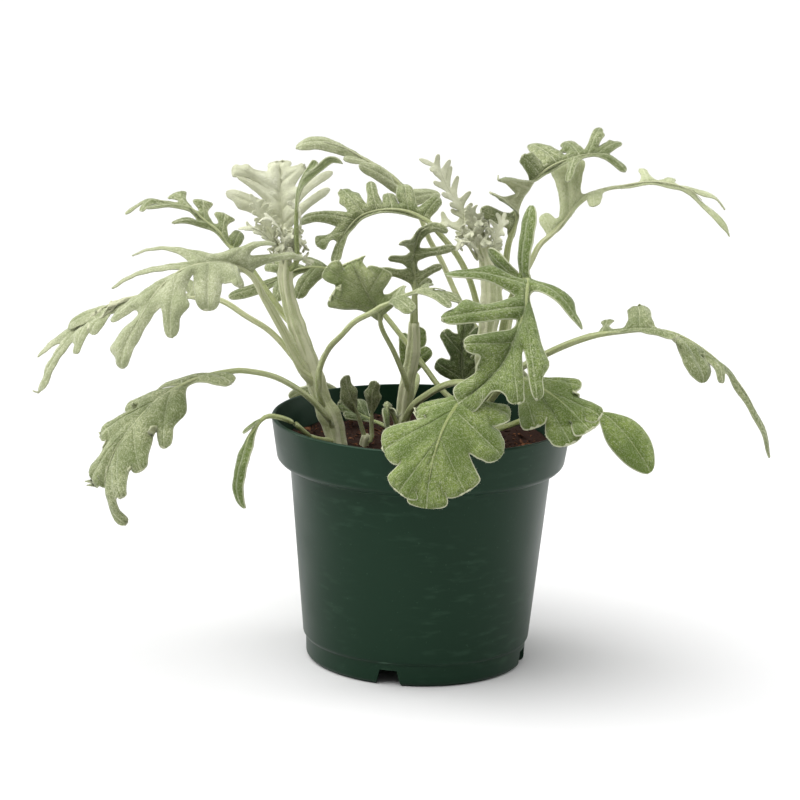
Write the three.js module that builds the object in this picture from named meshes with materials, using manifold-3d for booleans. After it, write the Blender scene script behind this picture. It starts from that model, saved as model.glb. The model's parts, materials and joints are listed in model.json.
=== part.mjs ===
// Dusty miller in its nursery pot: three leafy plants and a young shoot in a round plastic pot.
// Millimetres, +Z up, the pot's axis on Z and the pot standing on z = 0. -Y is the front.
import * as THREE from "three";
import { mergeVertices } from "three/addons/utils/BufferGeometryUtils.js";
import Module from "manifold-3d";

const wasm = await Module();
wasm.setup();

// Pot: a 4.5 inch round nursery pot, moulded with a deep rim band and a notched foot.
const POT_HEIGHT = 94;
const RIM_RADIUS = 57;
const BAND_HEIGHT = 17.5;
const BAND_LOW_RADIUS = 54.6;
const BODY_TOP_RADIUS = 49.6;
const WALL_LOW_RADIUS = 43.3;
const FOOT_HEIGHT = 8.2;
const FOOT_TOP_RADIUS = 42.2;
const FOOT_RADIUS = 42;
const FOOT_ROUND = 1.3;
const WALL = 1.4;
const FOOT_STEP = 1.2;
const BAND_STEP = 1.6;
const RIM_ROUND = 0.5;
const FLOOR_TOP = 8.4;
const FLOOR_CORNER = 2;
const CHANNEL = { inner: 12, outer: 39.4, height: 6.8 };
const NOTCH = { count: 4, turn: -14, top: 6.5, bottom: 10.4, height: 6, reach: 6 };
const POT_SEGMENTS = 32;

// Soil: peat and bark filled to a little under the rim.
const SOIL_TOP = 82;
const SOIL_HUMP = 1.2;
const SOIL_SEGMENTS = 18;
const FIT_GAP = 0.3;

// Leaves and stems.
const BLADE_THICK = 0.8;
const STALK_SIDES = 5;
const STALK_STEP = 14;
const STEM_SIDES = 8;
const JOINT_GAP = 0.35;
const ROOT_DEPTH = 16;
const FOOT_MARGIN = 1.5;
const WING = 1.1;
const WING_RUN = 8;
const WING_STEP = 16;
const LOBE_ARCH = 0.16;
const LOBE_LEAN = 0.06;
const NECK_LOW = 0.08;
const NECK_HIGH = 0.86;
const STALK_RUN_OUT = 0.13;
const STALK_THINNING = 0.45;

const COLOURS = {
  pot: 0x2b4a3b, soil: 0x4a3527, stem: 0xa3a878,
  silver: 0xcdcfb6, pale: 0xb4bd97, grey: 0x8f9f6c, green: 0x6f8c44, fresh: 0x7d9248, dark: 0x4c6430,
};

// A lobe's half width from its neck (0) to its tip (1), as parts of its full half width.
const EDGES = {
  finger: [[0.25, 0.85], [0.86, 0.8], [1, 0]],
  blunt: [[0.5, 1], [0.88, 0.7], [1, 0]],
  broad: [[0.35, 0.97], [0.75, 0.72], [1, 0]],
  toothed: [[0.25, 0.85], [0.52, 1.15], [0.66, 0.66], [0.9, 0.6], [1, 0]],
  forked: [[0.3, 0.3], [0.82, 1], [0.92, 0.5], [1, 0]],
  horned: [[0.45, 0.95], [0.64, 2.1], [0.72, 1.1], [0.92, 0.7], [1, 0]],
  spurred: [[0.12, 0.5], [0.42, 2.3], [0.52, 1.1], [0.85, 0.9], [1, 0]],
  winged: [[0.25, 1.6], [0.53, 2.2], [0.6, 1], [0.92, 0.8], [1, 0]],
  shouldered: [[0.22, 2.7], [0.36, 1.15], [0.85, 0.9], [1, 0]],
  flagged: [[0.5, 1.25], [0.67, 1.35], [0.74, 0.45], [0.9, 0.35], [1, 0]],
  hooked: [[0.4, 1.3], [0.62, 1.6], [0.73, 0.75], [0.9, 0.6], [1, 0]],
  tailed: [[0.5, 0.8], [0.8, 1.3], [0.86, 0.5], [1, 0]],
  slim: [[0.3, 0.6], [0.88, 0.5], [1, 0]],
  squared: [[0.2, 0.55], [0.6, 0.8], [0.92, 1], [1, 0]],
  taper: [[0.4, 0.9], [1, 0]],
  oval: [[0.12, 0.6], [0.35, 1], [0.65, 0.95], [0.9, 0.5], [1, 0]],
};

// Stems: the route from the soil up, with the stem's radius at each point.
const STEMS = [
  {
    name: "stem_left",
    points: [[-32, -2, 82], [-34, -1, 91], [-38, 0, 99], [-42, 1, 111], [-47, 2, 124],
      [-51, 4, 135], [-53, 6, 144], [-53, 7, 151], [-52, 8, 157]],
    radii: [3.4, 3.6, 3.4, 3.2, 3.0, 2.8, 2.5, 2.1, 1.2],
    young: [
      { spine: [[-53, 7, 148], [-57, 9, 158], [-62, 10, 166], [-67, 11, 176]],
        face: [0.5, -1, 0.4], pairs: 4, reach: 6 },
      { spine: [[-53, 7, 150], [-55, 4, 162], [-60, 2, 168], [-63, 4, 166]],
        face: [0.4, 0.3, -1], pairs: 2, reach: 4 },
      { spine: [[-53, 6, 148], [-59, 3, 160], [-66, 0, 165], [-71, 2, 164]],
        face: [0.5, -0.6, 1], pairs: 2, reach: 4 },
      { spine: [[-52, 8, 152], [-48, 10, 165], [-50, 8, 172], [-53, 5, 174]],
        face: [-1, 0, 0.4], pairs: 1, reach: 4 },
    ],
  },
  {
    name: "stem_middle",
    points: [[-8, 15, 82], [-7, 15, 93], [-6, 14, 103], [-4, 13, 117], [-4, 12, 128]],
    radii: [2.4, 2.5, 2.6, 2.6, 1.8],
    young: [],
  },
  {
    name: "stem_right",
    points: [[22, 10, 82], [23, 11, 99], [24, 11, 114], [24, 10, 126], [25, 10, 138],
      [24, 11, 149], [21, 12, 158], [19, 13, 163]],
    radii: [2.6, 3.2, 3.4, 3.4, 4.0, 3.4, 2.4, 1.2],
    young: [
      { spine: [[22, 12, 155], [15, 15, 167], [11, 16, 174], [7, 17, 180], [4, 18, 186], [-4, 18, 190]],
        face: [0.7, -1, 0.3], pairs: 4, reach: 8 },
      { spine: [[22, 12, 152], [19, 11, 164], [17, 10, 171], [15, 6, 174]],
        face: [0.3, -1, 0.2], pairs: 2, reach: 5 },
      { spine: [[24, 11, 148], [26, 8, 162], [28, 7, 168], [29, 9, 172]],
        face: [-0.6, -1, 0.2], pairs: 2, reach: 6 },
      { spine: [[23, 12, 150], [15, 18, 162], [8, 21, 165], [1, 22, 163]],
        face: [0, -0.5, 1], pairs: 1, reach: 7 },
      { spine: [[23, 11, 150], [17, 6, 160], [13, 3, 162], [11, 1, 158]],
        face: [0, -0.5, 1], pairs: 1, reach: 3 },
    ],
  },
  {
    name: "stem_shoot",
    points: [[-22, 2, 80], [-21, 1, 86]],
    radii: [1.6, 1.4],
    young: [],
  },
];

// What the young leaves of a growing tip have in common.
const YOUNG = { stalk: [0.8, 0.6], start: 0.3, web: 1.2, end: [0.86, 2.2, "taper"], edge: "taper" };

// Leaves: the midrib's route, the way the upper side faces, and the lobes as [place along the
// midrib, the lobe's tip x, y, z, width, edge, arch, web, tipWeb], the last three where they differ
// from LOBE_ARCH and the leaf's own web. web is how far out the blade is undivided: a lobe's web
// holds towards the stalk and its tipWeb towards the leaf's tip. end is the last lobe: [place, width,
// edge, web]. An edge "a|b" differs between the halves: towards the stalk and the tip, or left and
// right on the last lobe. start is where the blade begins.
// root, where there is one, is the point inside the stem that the stalk grows from.
const LEAVES = [
  {
    name: "leaf_left_front", shade: "pale", stalk: [2.2, 1.2], start: 0.37, web: 6, face: [-0.3, -0.6, 1],
    root: [-41, 0, 106],
    spine: [[-45, -3, 111], [-52, -5, 125], [-60, -10, 140], [-65, -16, 150], [-72, -21, 155],
      [-81, -27, 156], [-90, -33, 154], [-98, -38, 147], [-104, -43, 137], [-108, -46, 129], [-110, -48, 120]],
    lobes: [[0.41, -45, -1, 155, 3, "finger", 0.26], [0.48, -56, -5, 160, 3, "finger", 0.3],
      [0.54, -110, -8, 154, 2.6, "finger", 0.32], [0.6, -117, -22, 145, 4, "toothed|finger", 0.2, 3, 4],
      [0.7, -116, -34, 135, 5, "finger", 0.1, 3, 9],
      [0.46, -68, -34, 149, 5, "blunt", 0.16, 3, 11], [0.54, -79, -42, 141, 9, "blunt", 0.16, 11, 3],
      [0.64, -92, -50, 132, 6, "spurred|blunt", 0.2, 3, 11]],
    end: [0.76, 10, "slim|hooked", 15],
  },
  {
    name: "leaf_left_far", shade: "pale", stalk: [1.2, 1.1], start: 0.42, web: 7, face: [-0.3, -0.5, 1],
    spine: [[-35, -1, 93], [-38, 1, 99], [-47, 3, 112], [-58, 5, 124], [-68, 6, 130], [-77, 8, 135],
      [-87, 10, 136], [-99, 12, 136], [-110, 13, 135], [-124, 15, 129], [-133, 16, 120], [-142, 17, 108],
      [-149, 18, 95]],
    lobes: [[0.46, -92, 16, 141, 5, "blunt"], [0.58, -137, 20, 121, 9, "blunt", 0.1, 4, 16],
      [0.68, -149, 27, 107, 6, "taper", 0.1, 16, 26],
      [0.56, -113, 8, 133, 6, "blunt", 0.1, 3], [0.66, -127, 8, 121, 8, "broad", 0.1, 4, 12],
      [0.74, -133, 8, 113, 4, "finger", 0.1, 12, 8]],
    end: [0.7, 6, "tailed|toothed", 26],
  },
  {
    name: "leaf_left_low", shade: "grey", stalk: [1.2, 1.1], start: 0.36, web: 11, face: [-0.5, -0.6, 0.9],
    root: [-35, -1, 88],
    spine: [[-34, -5, 91], [-40, -10, 100], [-46, -14, 106], [-55, -19, 112], [-64, -24, 115],
      [-71, -28, 116], [-80, -31, 115], [-90, -34, 111], [-100, -37, 104], [-107, -40, 96],
      [-112, -42, 89], [-115, -44, 81], [-116, -45, 73], [-113, -46, 66], [-108, -47, 61]],
    lobes: [[0.44, -70, -38, 114, 9, "blunt", 0.1, 3], [0.46, -100, -24, 107, 4, "taper", 0.2, 3],
      [0.53, -111, -28, 101, 6, "blunt", 0.1, 3, 14],
      [0.55, -94, -49, 91, 6.4, "shouldered|blunt", 0.12, 3, 12],
      [0.6, -119, -32, 91, 9, "blunt", 0.1, 14, 20], [0.69, -102, -52, 83, 7, "blunt", 0.1, 12, 15],
      [0.71, -122, -38, 74, 10, "blunt", 0.2, 20, 17], [0.76, -109, -53, 73, 5, "blunt", 0.1, 15, 17]],
    end: [0.82, 5, "finger", 17],
  },
  {
    name: "leaf_left_rim", shade: "green", stalk: [1.2, 1.0], start: 0.45, web: 3, face: [-0.8, -0.6, 0.6],
    root: [-32, -2, 83],
    spine: [[-35, -6, 85], [-42, -12, 88], [-49, -18, 95], [-57, -23, 98], [-60, -25, 97],
      [-64, -27, 91], [-66, -30, 84], [-68, -33, 76], [-67, -35, 69], [-65, -36, 65]],
    lobes: [[0.52, -67, -25, 92, 2, "finger", 0.1, 1]],
    end: [0.5, 7, "oval", 1],
  },
  {
    name: "leaf_left_curled", shade: "grey", stalk: [1.4, 0.9], start: 0.36, web: 2, face: [-0.3, -0.5, 1],
    root: [-49, 3, 127],
    spine: [[-53, 7, 130], [-61, 10, 140], [-68, 13, 149], [-74, 16, 154], [-79, 18, 160], [-85, 20, 164],
      [-90, 22, 168], [-97, 24, 169], [-105, 26, 170], [-111, 28, 168], [-116, 29, 164]],
    lobes: [[0.39, -71, 25, 159, 5, "blunt"], [0.47, -77, 27, 166, 8, "forked"],
      [0.57, -86, 29, 171, 8, "forked"], [0.67, -97, 31, 172, 8, "forked"],
      [0.56, -97, 14, 164, 3, "taper"], [0.69, -107, 18, 168, 2, "finger"],
      [0.85, -109, 22, 166, 3, "finger"]],
    end: [0.88, 2.4, "finger"],
  },
  {
    name: "leaf_left_back", shade: "silver", stalk: [1.6, 1.4], start: 0.2, web: 6, face: [0, -1, 0.3],
    root: [-52, 7, 145],
    spine: [[-53, 14, 150], [-54, 17, 158], [-55, 19, 167], [-56, 22, 174], [-56, 25, 180], [-57, 28, 186]],
    lobes: [[0.66, -75, 22, 184, 6, "forked|toothed", 0.16, 4, 11], [0.56, -73, 20, 181, 3, "taper"],
      [0.4, -77, 18, 175, 5, "hooked|blunt"], [0.76, -47, 24, 185, 4, "finger", 0.16, 5, 8],
      [0.5, -36, 20, 184, 3, "finger"], [0.36, -37, 16, 178, 3, "finger"]],
    end: [0.78, 9, "blunt", 7],
  },
  {
    name: "leaf_left_thin", shade: "dark", stalk: [1.2, 0.9], start: 0.35, web: 2, face: [0.6, 0.2, 1],
    root: [-53, 7, 147],
    spine: [[-49, 4, 151], [-49, 2, 161], [-49, 1, 170], [-48, 0, 178], [-46, -1, 184], [-41, -3, 189],
      [-36, -5, 193], [-32, -7, 192]],
    lobes: [[0.61, -42, 4, 190, 3, "finger"]],
    end: [0.66, 3, "finger"],
  },
  {
    name: "leaf_back_green", shade: "grey", stalk: [1.1, 1.0], start: 0.55, web: 4, face: [0, -0.7, 1],
    root: [22, 12, 92],
    spine: [[9, 18, 99], [1, 22, 108], [-9, 26, 120], [-18, 29, 130], [-27, 31, 138], [-37, 32, 144],
      [-48, 32, 144], [-60, 31, 138], [-69, 30, 135], [-76, 29, 133]],
    lobes: [[0.66, -49, 22, 134, 6, "blunt"], [0.78, -57, 22, 133, 5, "blunt"],
      [0.72, -63, 38, 144, 6, "blunt"], [0.61, -48, 40, 147, 4, "blunt"]],
    end: [0.82, 5, "blunt"],
  },
  {
    name: "leaf_middle_arch", shade: "grey", stalk: [1.3, 1.1], start: 0.62, web: 3, face: [0, -0.3, 1],
    root: [-37, -1, 95],
    spine: [[-38, -4, 99], [-39, -6, 103], [-39, -8, 113], [-36, -10, 121], [-31, -16, 128], [-26, -19, 134],
      [-20, -22, 138], [-15, -25, 142], [-9, -28, 146], [-2, -31, 149], [5, -34, 150], [13, -37, 147]],
    lobes: [[0.69, -5, -38, 142, 6, "blunt"], [0.83, 9, -44, 146, 4, "blunt"],
      [0.7, -9, -16, 148, 3, "finger"], [0.8, 2, -18, 149, 3, "finger"]],
    end: [0.86, 5, "blunt"],
  },
  {
    name: "leaf_middle_fingers", shade: "grey", stalk: [1.7, 1.2], start: 0.22, web: 2, face: [0, -1, 0.5],
    spine: [[-4, 12, 127], [-4, 9, 138], [-4, 8, 145], [-5, 7, 153], [-4, 5, 160], [-2, 2, 165], [2, -1, 167],
      [7, -5, 166]],
    lobes: [[0.37, -18, 4, 149, 3, "finger"], [0.51, -14, 0, 154, 3, "finger"],
      [0.64, -10, -4, 161, 3, "finger"],
      [0.36, 6, 2, 152, 3, "finger"], [0.55, 11, 0, 159, 3, "finger"], [0.25, 2, 4, 146, 3, "finger"]],
    end: [0.74, 4, "finger"],
  },
  {
    name: "leaf_middle_arc", shade: "grey", stalk: [1.3, 1.1], start: 0.5, web: 3, face: [-0.2, -0.5, 1],
    root: [24, 11, 114],
    spine: [[24, 16, 119], [20, 19, 134], [17, 21, 143], [12, 23, 152], [5, 25, 160], [0, 26, 165],
      [-6, 27, 168], [-13, 27, 169], [-21, 26, 168], [-26, 24, 166], [-30, 21, 162], [-33, 18, 157],
      [-35, 14, 150]],
    lobes: [[0.54, 5, 34, 173, 5, "blunt"], [0.6, -9, 36, 177, 7, "blunt"],
      [0.66, -15, 35, 174, 5, "blunt"],
      [0.72, -22, 36, 179, 4, "finger"], [0.77, -33, 34, 175, 8, "toothed"],
      [0.81, -49, 26, 163, 6, "blunt", 0.35, 6],
      [0.87, -42, 16, 156, 8, "forked", 0.2, 3]],
    end: [0.92, 4, "blunt"],
  },
  {
    name: "leaf_middle_top", shade: "pale", stalk: [1.2, 1.0], start: 0.5, web: 3, face: [-0.1, -0.7, 0.8],
    root: [24, 11, 110],
    spine: [[25, 22, 118], [18, 26, 126], [12, 30, 136], [6, 34, 148], [1, 37, 156], [-3, 40, 165],
      [-7, 43, 171], [-14, 45, 179], [-25, 47, 185], [-33, 48, 189], [-43, 49, 191], [-52, 50, 189]],
    lobes: [[0.58, -27, 38, 184, 5, "blunt"], [0.55, 5, 52, 171, 5, "blunt"],
      [0.7, -33, 40, 186, 3, "finger"]],
    end: [0.8, 6, "blunt", 3],
  },
  {
    name: "leaf_middle_folded", shade: "grey", stalk: [1.1, 0.9], start: 0.5, web: 9, face: [-0.4, -1, 0.6],
    root: [-6, 14, 100],
    spine: [[-6, 10, 104], [-11, 6, 117], [-16, 3, 127], [-18, 0, 135], [-22, -3, 142], [-25, -5, 148],
      [-28, -6, 154]],
    lobes: [[0.6, -35, -8, 141, 12, "blunt", 0.1, 14, 16], [0.76, -37, -10, 152, 11, "broad", 0.1, 16],
      [0.56, -8, -4, 145, 4, "hooked|taper", 0.3, 4, 7], [0.74, -16, -10, 152, 9, "broad", 0.1, 7, 12]],
    end: [0.82, 11, "squared", 14],
  },
  {
    name: "leaf_middle_behind", shade: "green", stalk: [1.0, 0.9], start: 0.25, web: 6, face: [0, -1, 0.3],
    spine: [[-8, 15, 92], [-8, 24, 97], [-6, 30, 106], [-3, 32, 114], [-2, 33, 122]],
    lobes: [[0.5, 3, 31, 114, 5, "blunt"], [0.54, -8, 31, 120, 4, "blunt"]],
    end: [0.6, 7, "blunt"],
  },
  {
    name: "leaf_right_inner", shade: "dark", stalk: [1.1, 1.0], start: 0.25, web: 6, face: [-0.2, -1, 0.3],
    root: [22, 10, 86],
    spine: [[20, 18, 89], [17, 20, 99], [15, 21, 108], [15, 22, 118], [16, 23, 127]],
    lobes: [[0.4, 5, 20, 111, 6, "blunt"], [0.4, 24, 20, 114, 7, "blunt"],
      [0.66, 7, 21, 123, 5, "blunt"], [0.68, 24, 21, 125, 5, "blunt"]],
    end: [0.78, 7, "blunt"],
  },
  {
    name: "leaf_middle_low", shade: "green", stalk: [0.9, 0.8], start: 0.42, web: 3, face: [0.3, -1, 0.6],
    spine: [[-9, 15, 86], [-11, 10, 92], [-13, 4, 97], [-14, -1, 99], [-13, -6, 97], [-12, -10, 91]],
    lobes: [[0.55, -8, -6, 95, 4, "finger"]],
    end: [0.6, 6, "broad"],
  },
  {
    name: "leaf_inner_dark", shade: "dark", stalk: [0.9, 0.8], start: 0.25, web: 5, face: [-0.2, -0.7, 1],
    root: [-8, 15, 86],
    spine: [[-12, 22, 84], [-19, 26, 86], [-25, 30, 88], [-32, 34, 91]],
    lobes: [[0.45, -25, 36, 92, 5, "blunt"], [0.5, -30, 25, 88, 4, "blunt"]],
    end: [0.62, 6, "blunt"],
  },
  {
    name: "leaf_right_upright", shade: "grey", stalk: [1.5, 1.2], start: 0.36, web: 3, face: [-0.4, -0.5, 1],
    root: [24, 10, 122],
    spine: [[26, 13, 126], [27, 14, 137], [30, 14, 149], [31, 15, 158], [33, 16, 166], [34, 17, 173],
      [37, 18, 179], [41, 19, 184], [46, 20, 188], [53, 21, 191], [61, 21, 193], [68, 20, 193],
      [75, 18, 188]],
    lobes: [[0.41, 20, 8, 172, 5, "flagged|finger"], [0.48, 23, 6, 178, 4, "hooked|finger"],
      [0.56, 26, 8, 185, 6, "flagged|blunt"], [0.63, 35, 16, 192, 5, "blunt|hooked"],
      [0.71, 38, 36, 194, 8, "broad"], [0.8, 51, 34, 196, 5, "spurred|blunt"],
      [0.83, 65, 30, 202, 4, "finger|hooked"], [0.87, 73, 28, 198, 4, "hooked|blunt"],
      [0.78, 52, 10, 184, 3, "finger"]],
    end: [0.9, 4, "blunt"],
  },
  {
    name: "leaf_right_far", shade: "pale", stalk: [1.3, 1.1], start: 0.33, web: 3, face: [0.3, -0.3, 1],
    root: [24, 11, 116],
    spine: [[30, 12, 120], [33, 15, 132], [36, 18, 143], [40, 20, 151], [43, 22, 157], [48, 23, 162],
      [53, 25, 168], [57, 26, 173], [64, 27, 178], [73, 28, 180], [87, 29, 182], [100, 30, 179],
      [108, 30, 172], [117, 28, 162]],
    lobes: [[0.36, 44, 32, 168, 5, "blunt"], [0.44, 53, 34, 188, 14, "squared", 0.1, 2],
      [0.53, 63, 16, 174, 5, "blunt"],
      [0.69, 82, 42, 185, 3, "finger"], [0.74, 94, 40, 182, 4, "finger"], [0.8, 116, 38, 171, 4, "taper"]],
    end: [0.82, 7, "forked", 2],
  },
  {
    name: "leaf_right_front", shade: "green", stalk: [1.5, 1.3], start: 0.33, web: 9, face: [0, -1, 0.5],
    root: [24, 10, 115],
    spine: [[28, 2, 120], [30, -6, 134], [33, -15, 146], [37, -23, 153], [37, -31, 151], [36, -38, 144],
      [33, -44, 136], [29, -49, 127], [22, -53, 119], [13, -57, 113]],
    lobes: [[0.37, 38, -14, 179, 8, "blunt", 0.16, 3], [0.36, 22, -12, 161, 6, "blunt", 0.16, 3],
      [0.47, 6, -28, 155, 6, "spurred|finger", 0.16, 3], [0.57, 5, -44, 141, 7.5, "horned|blunt", 0.16, 4, 4],
      [0.71, 14, -54, 134, 7, "blunt", 0.1, 3, 9],
      [0.44, 58, -42, 138, 7, "flagged|taper", 0.3, 3],
      [0.58, 41, -60, 115, 6, "winged|slim", 0.16, 4, 11],
      [0.71, 34, -61, 114, 8, "slim|blunt", 0.16, 7, 17]],
    end: [0.79, 12, "broad", 19],
  },
  {
    name: "leaf_right_arching", shade: "grey", stalk: [1.5, 1.3], start: 0.34, web: 4, face: [0.3, -0.5, 1],
    root: [23, 11, 98],
    spine: [[25, 5, 102], [31, 2, 109], [38, -1, 115], [47, -4, 121], [58, -8, 127], [69, -11, 131],
      [84, -13, 133], [93, -14, 132], [103, -15, 127], [112, -16, 120], [120, -17, 111], [126, -18, 100],
      [132, -18, 86]],
    lobes: [[0.37, 69, 1, 134, 5, "forked"], [0.47, 80, 4, 139, 9, "finger", 0.16, 2],
      [0.5, 93, -26, 133, 5, "finger", 0.16, 3, 7],
      [0.57, 104, -26, 116, 12, "broad", 0.12, 8, 5], [0.68, 111, -24, 116, 4, "finger", 0.1, 5]],
    end: [0.75, 5, "taper"],
  },
  {
    name: "leaf_right_rim", shade: "fresh", stalk: [1.3, 1.1], start: 0.4, web: 20, face: [0.3, -0.9, 0.7],
    root: [22, 10, 92],
    spine: [[24, 0, 98], [28, -8, 106], [32, -16, 113], [36, -24, 116], [43, -32, 114], [51, -40, 110],
      [61, -48, 102]],
    lobes: [[0.5, 58, -33, 115, 9, "broad", 0.06, 8, 17], [0.66, 65, -43, 106, 9, "blunt", 0.06, 17, 16],
      [0.42, 41, -46, 102, 10, "blunt", 0.06, 8, 24], [0.54, 54, -50, 97, 13, "blunt", 0.03, 22, 20]],
    end: [0.72, 12, "blunt", 17],
  },
  {
    name: "leaf_right_oval", shade: "fresh", stalk: [1.2, 1.0], start: 0.55, web: 2, face: [0.4, -0.8, 0.6],
    root: [22, 10, 87],
    spine: [[24, -3, 89], [31, -6, 92], [39, -9, 96], [52, -13, 101], [65, -17, 102], [75, -21, 95],
      [81, -24, 88], [86, -26, 81]],
    lobes: [],
    end: [0.57, 15, "oval"],
  },
  {
    name: "leaf_front", shade: "fresh", stalk: [1.4, 1.2], start: 0.6, web: 14, face: [-0.1, -1, 0.5],
    root: [-8, 15, 83],
    spine: [[-8, 12, 84], [-4, 5, 96], [2, -6, 104], [9, -19, 111], [15, -34, 115], [16, -46, 115],
      [13, -55, 113], [8, -62, 106], [5, -66, 98], [3, -69, 89], [2, -71, 77]],
    lobes: [[0.66, -3, -52, 108, 9, "blunt", 0.16, 8, 12],
      [0.7, -14, -60, 95, 15, "broad|blunt", 0.12, 12, 24],
      [0.79, -8, -69, 82, 13, "blunt", 0.08, 20, 21],
      [0.64, 32, -54, 108, 11, "broad", 0.12, 10, 15], [0.7, 29, -63, 95, 14, "broad", 0.12, 15, 14],
      [0.79, 16, -70, 83, 13, "blunt", 0.08, 13, 19]],
    end: [0.84, 16, "broad", 17],
  },
  {
    name: "leaf_shoot_left", shade: "grey", stalk: [0.9, 0.8], start: 0.35, web: 2, face: [0.5, -1, 0.3],
    spine: [[-21, 2, 83], [-23, 0, 90], [-25, -3, 97], [-28, -6, 104], [-29, -9, 111]],
    lobes: [],
    end: [0.38, 7, "toothed"],
  },
  {
    name: "leaf_shoot_right", shade: "grey", stalk: [0.9, 0.8], start: 0.35, web: 2, face: [-0.2, -1, 0.3],
    root: [-21, 1, 83],
    spine: [[-19, 1, 84], [-19, 1, 90], [-19, -1, 97], [-19, -4, 103], [-18, -7, 108]],
    lobes: [],
    end: [0.38, 6, "toothed"],
  },
  {
    name: "leaf_rear_left", shade: "green", stalk: [1.3, 1.1], start: 0.5, web: 4, face: [0, 0.5, 1],
    root: [-37, 0, 92],
    spine: [[-37, 6, 96], [-40, 30, 99], [-41, 62, 95], [-41, 76, 85], [-40, 86, 67], [-38, 92, 44]],
    pairs: 3, reach: 18, end: [0.86, 7, "toothed"],
  },
  {
    name: "leaf_rear_middle", shade: "green", stalk: [1.3, 1.1], start: 0.5, web: 4, face: [0, 0.5, 1],
    root: [-6, 14, 97],
    spine: [[-5, 18, 96], [-2, 40, 99], [-3, 64, 96], [-1, 78, 86], [2, 88, 68], [5, 94, 47]],
    pairs: 3, reach: 19, end: [0.86, 7, "toothed"],
  },
  {
    name: "leaf_rear_right", shade: "green", stalk: [1.3, 1.1], start: 0.5, web: 4, face: [0, 0.5, 1],
    root: [23, 11, 95],
    spine: [[25, 16, 99], [27, 32, 108], [29, 52, 109], [31, 74, 100], [32, 92, 82], [33, 103, 61]],
    pairs: 3, reach: 17, end: [0.86, 7, "toothed"],
  },
];

const vector = (p) => new THREE.Vector3(p[0], p[1], p[2]);
const routeThrough = (points) => new THREE.CatmullRomCurve3(points.map(vector), false, "centripetal");

// A closed solid for cutting and joining, from any closed geometry.
function solidOf(geometry) {
  const bare = geometry.index ? geometry.toNonIndexed() : geometry.clone();
  bare.deleteAttribute("normal");
  bare.deleteAttribute("uv");
  const merged = mergeVertices(bare, 1e-4);
  return new wasm.Manifold(new wasm.Mesh({
    numProp: 3,
    vertProperties: merged.attributes.position.array,
    triVerts: merged.index.array,
  }));
}

function geometryOf(solid) {
  const mesh = solid.getMesh();
  const geometry = new THREE.BufferGeometry();
  geometry.setAttribute("position", new THREE.BufferAttribute(mesh.vertProperties, 3));
  geometry.setIndex(new THREE.BufferAttribute(mesh.triVerts, 1));
  return geometry;
}

function biggestPiece(solid) {
  const pieces = solid.decompose();
  return pieces.reduce((best, piece) => (piece.volume() > best.volume() ? piece : best));
}

// The normal at a point of a curve, carried along from the normal before it.
function carried(normal, tangent) {
  return normal.clone().addScaledVector(tangent, -normal.dot(tangent)).normalize();
}

// A closed tube along a curve, from one place to another, with a radius that changes on the way.
function tube(curve, from, to, radiusAt, sides, steps) {
  const positions = [];
  const indices = [];
  let normal = new THREE.Vector3(0.2, 1, 0.1);
  for (let i = 0; i <= steps; i += 1) {
    const place = from + (to - from) * i / steps;
    const centre = curve.getPointAt(place);
    const tangent = curve.getTangentAt(place);
    normal = carried(normal, tangent);
    const across = new THREE.Vector3().crossVectors(tangent, normal);
    for (let j = 0; j < sides; j += 1) {
      const turn = 2 * Math.PI * j / sides;
      const out = normal.clone().multiplyScalar(Math.cos(turn)).addScaledVector(across, Math.sin(turn));
      positions.push(...centre.clone().addScaledVector(out, radiusAt(place)).toArray());
    }
  }
  for (let i = 0; i < steps; i += 1) {
    for (let j = 0; j < sides; j += 1) {
      const a = i * sides + j;
      const b = i * sides + (j + 1) % sides;
      indices.push(a, b, b + sides, a, b + sides, a + sides);
    }
  }
  const last = steps * sides;
  for (let j = 1; j < sides - 1; j += 1) {
    indices.push(0, j + 1, j, last, last + j, last + j + 1);
  }
  const geometry = new THREE.BufferGeometry();
  geometry.setAttribute("position", new THREE.Float32BufferAttribute(positions, 3));
  geometry.setIndex(indices);
  return solidOf(geometry);
}

// The leaf's frame: the point, direction, upper normal and left side at a place on the midrib.
function midribFrame(leaf) {
  const curve = routeThrough(leaf.spine);
  const face = vector(leaf.face);
  return (place) => {
    const point = curve.getPointAt(place);
    const along = curve.getTangentAt(place);
    const up = carried(face, along);
    return { point, along, up, left: new THREE.Vector3().crossVectors(up, along) };
  };
}

// Lobes in even pairs along the blade, the longest a third of the way out.
function pairedLobes(leaf, frameAt) {
  const lobes = [];
  for (let i = 0; i < leaf.pairs; i += 1) {
    const part = (i + 0.6) / leaf.pairs;
    const place = leaf.start + (leaf.end[0] - leaf.start) * part;
    const reach = leaf.reach * Math.sin(Math.PI * (0.2 + 0.62 * part));
    const { point, along, up, left } = frameAt(place);
    for (const side of [1, -1]) {
      const tip = point.clone().addScaledVector(along, 0.6 * reach);
      tip.addScaledVector(left, side * 0.8 * reach);
      tip.addScaledVector(up, -0.12 * reach);
      lobes.push([place, ...tip.toArray(), 0.34 * leaf.reach, leaf.edge ?? "blunt"]);
    }
  }
  return lobes;
}

// A lobe's vein: it leaves the midrib, leans towards the leaf's tip and arches over.
function veinCurve(place, tip, arch, frameAt) {
  const { point, along, up } = frameAt(place);
  const length = point.distanceTo(tip);
  const bend = point.clone().add(tip).multiplyScalar(0.5);
  bend.addScaledVector(up, arch * length).addScaledVector(along, LOBE_LEAN * length);
  return new THREE.QuadraticBezierCurve3(point, bend, tip);
}

// The outlines of a lobe's two halves, and the parts of its length where either has a corner.
function outlinesOf(edge) {
  const [near, far = near] = edge.split("|");
  const outlines = [EDGES[near], EDGES[far]];
  const parts = new Set([0, ...outlines.flat().map(([part]) => part)]);
  return { outlines, parts: [...parts].sort((a, b) => a - b) };
}

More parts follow.
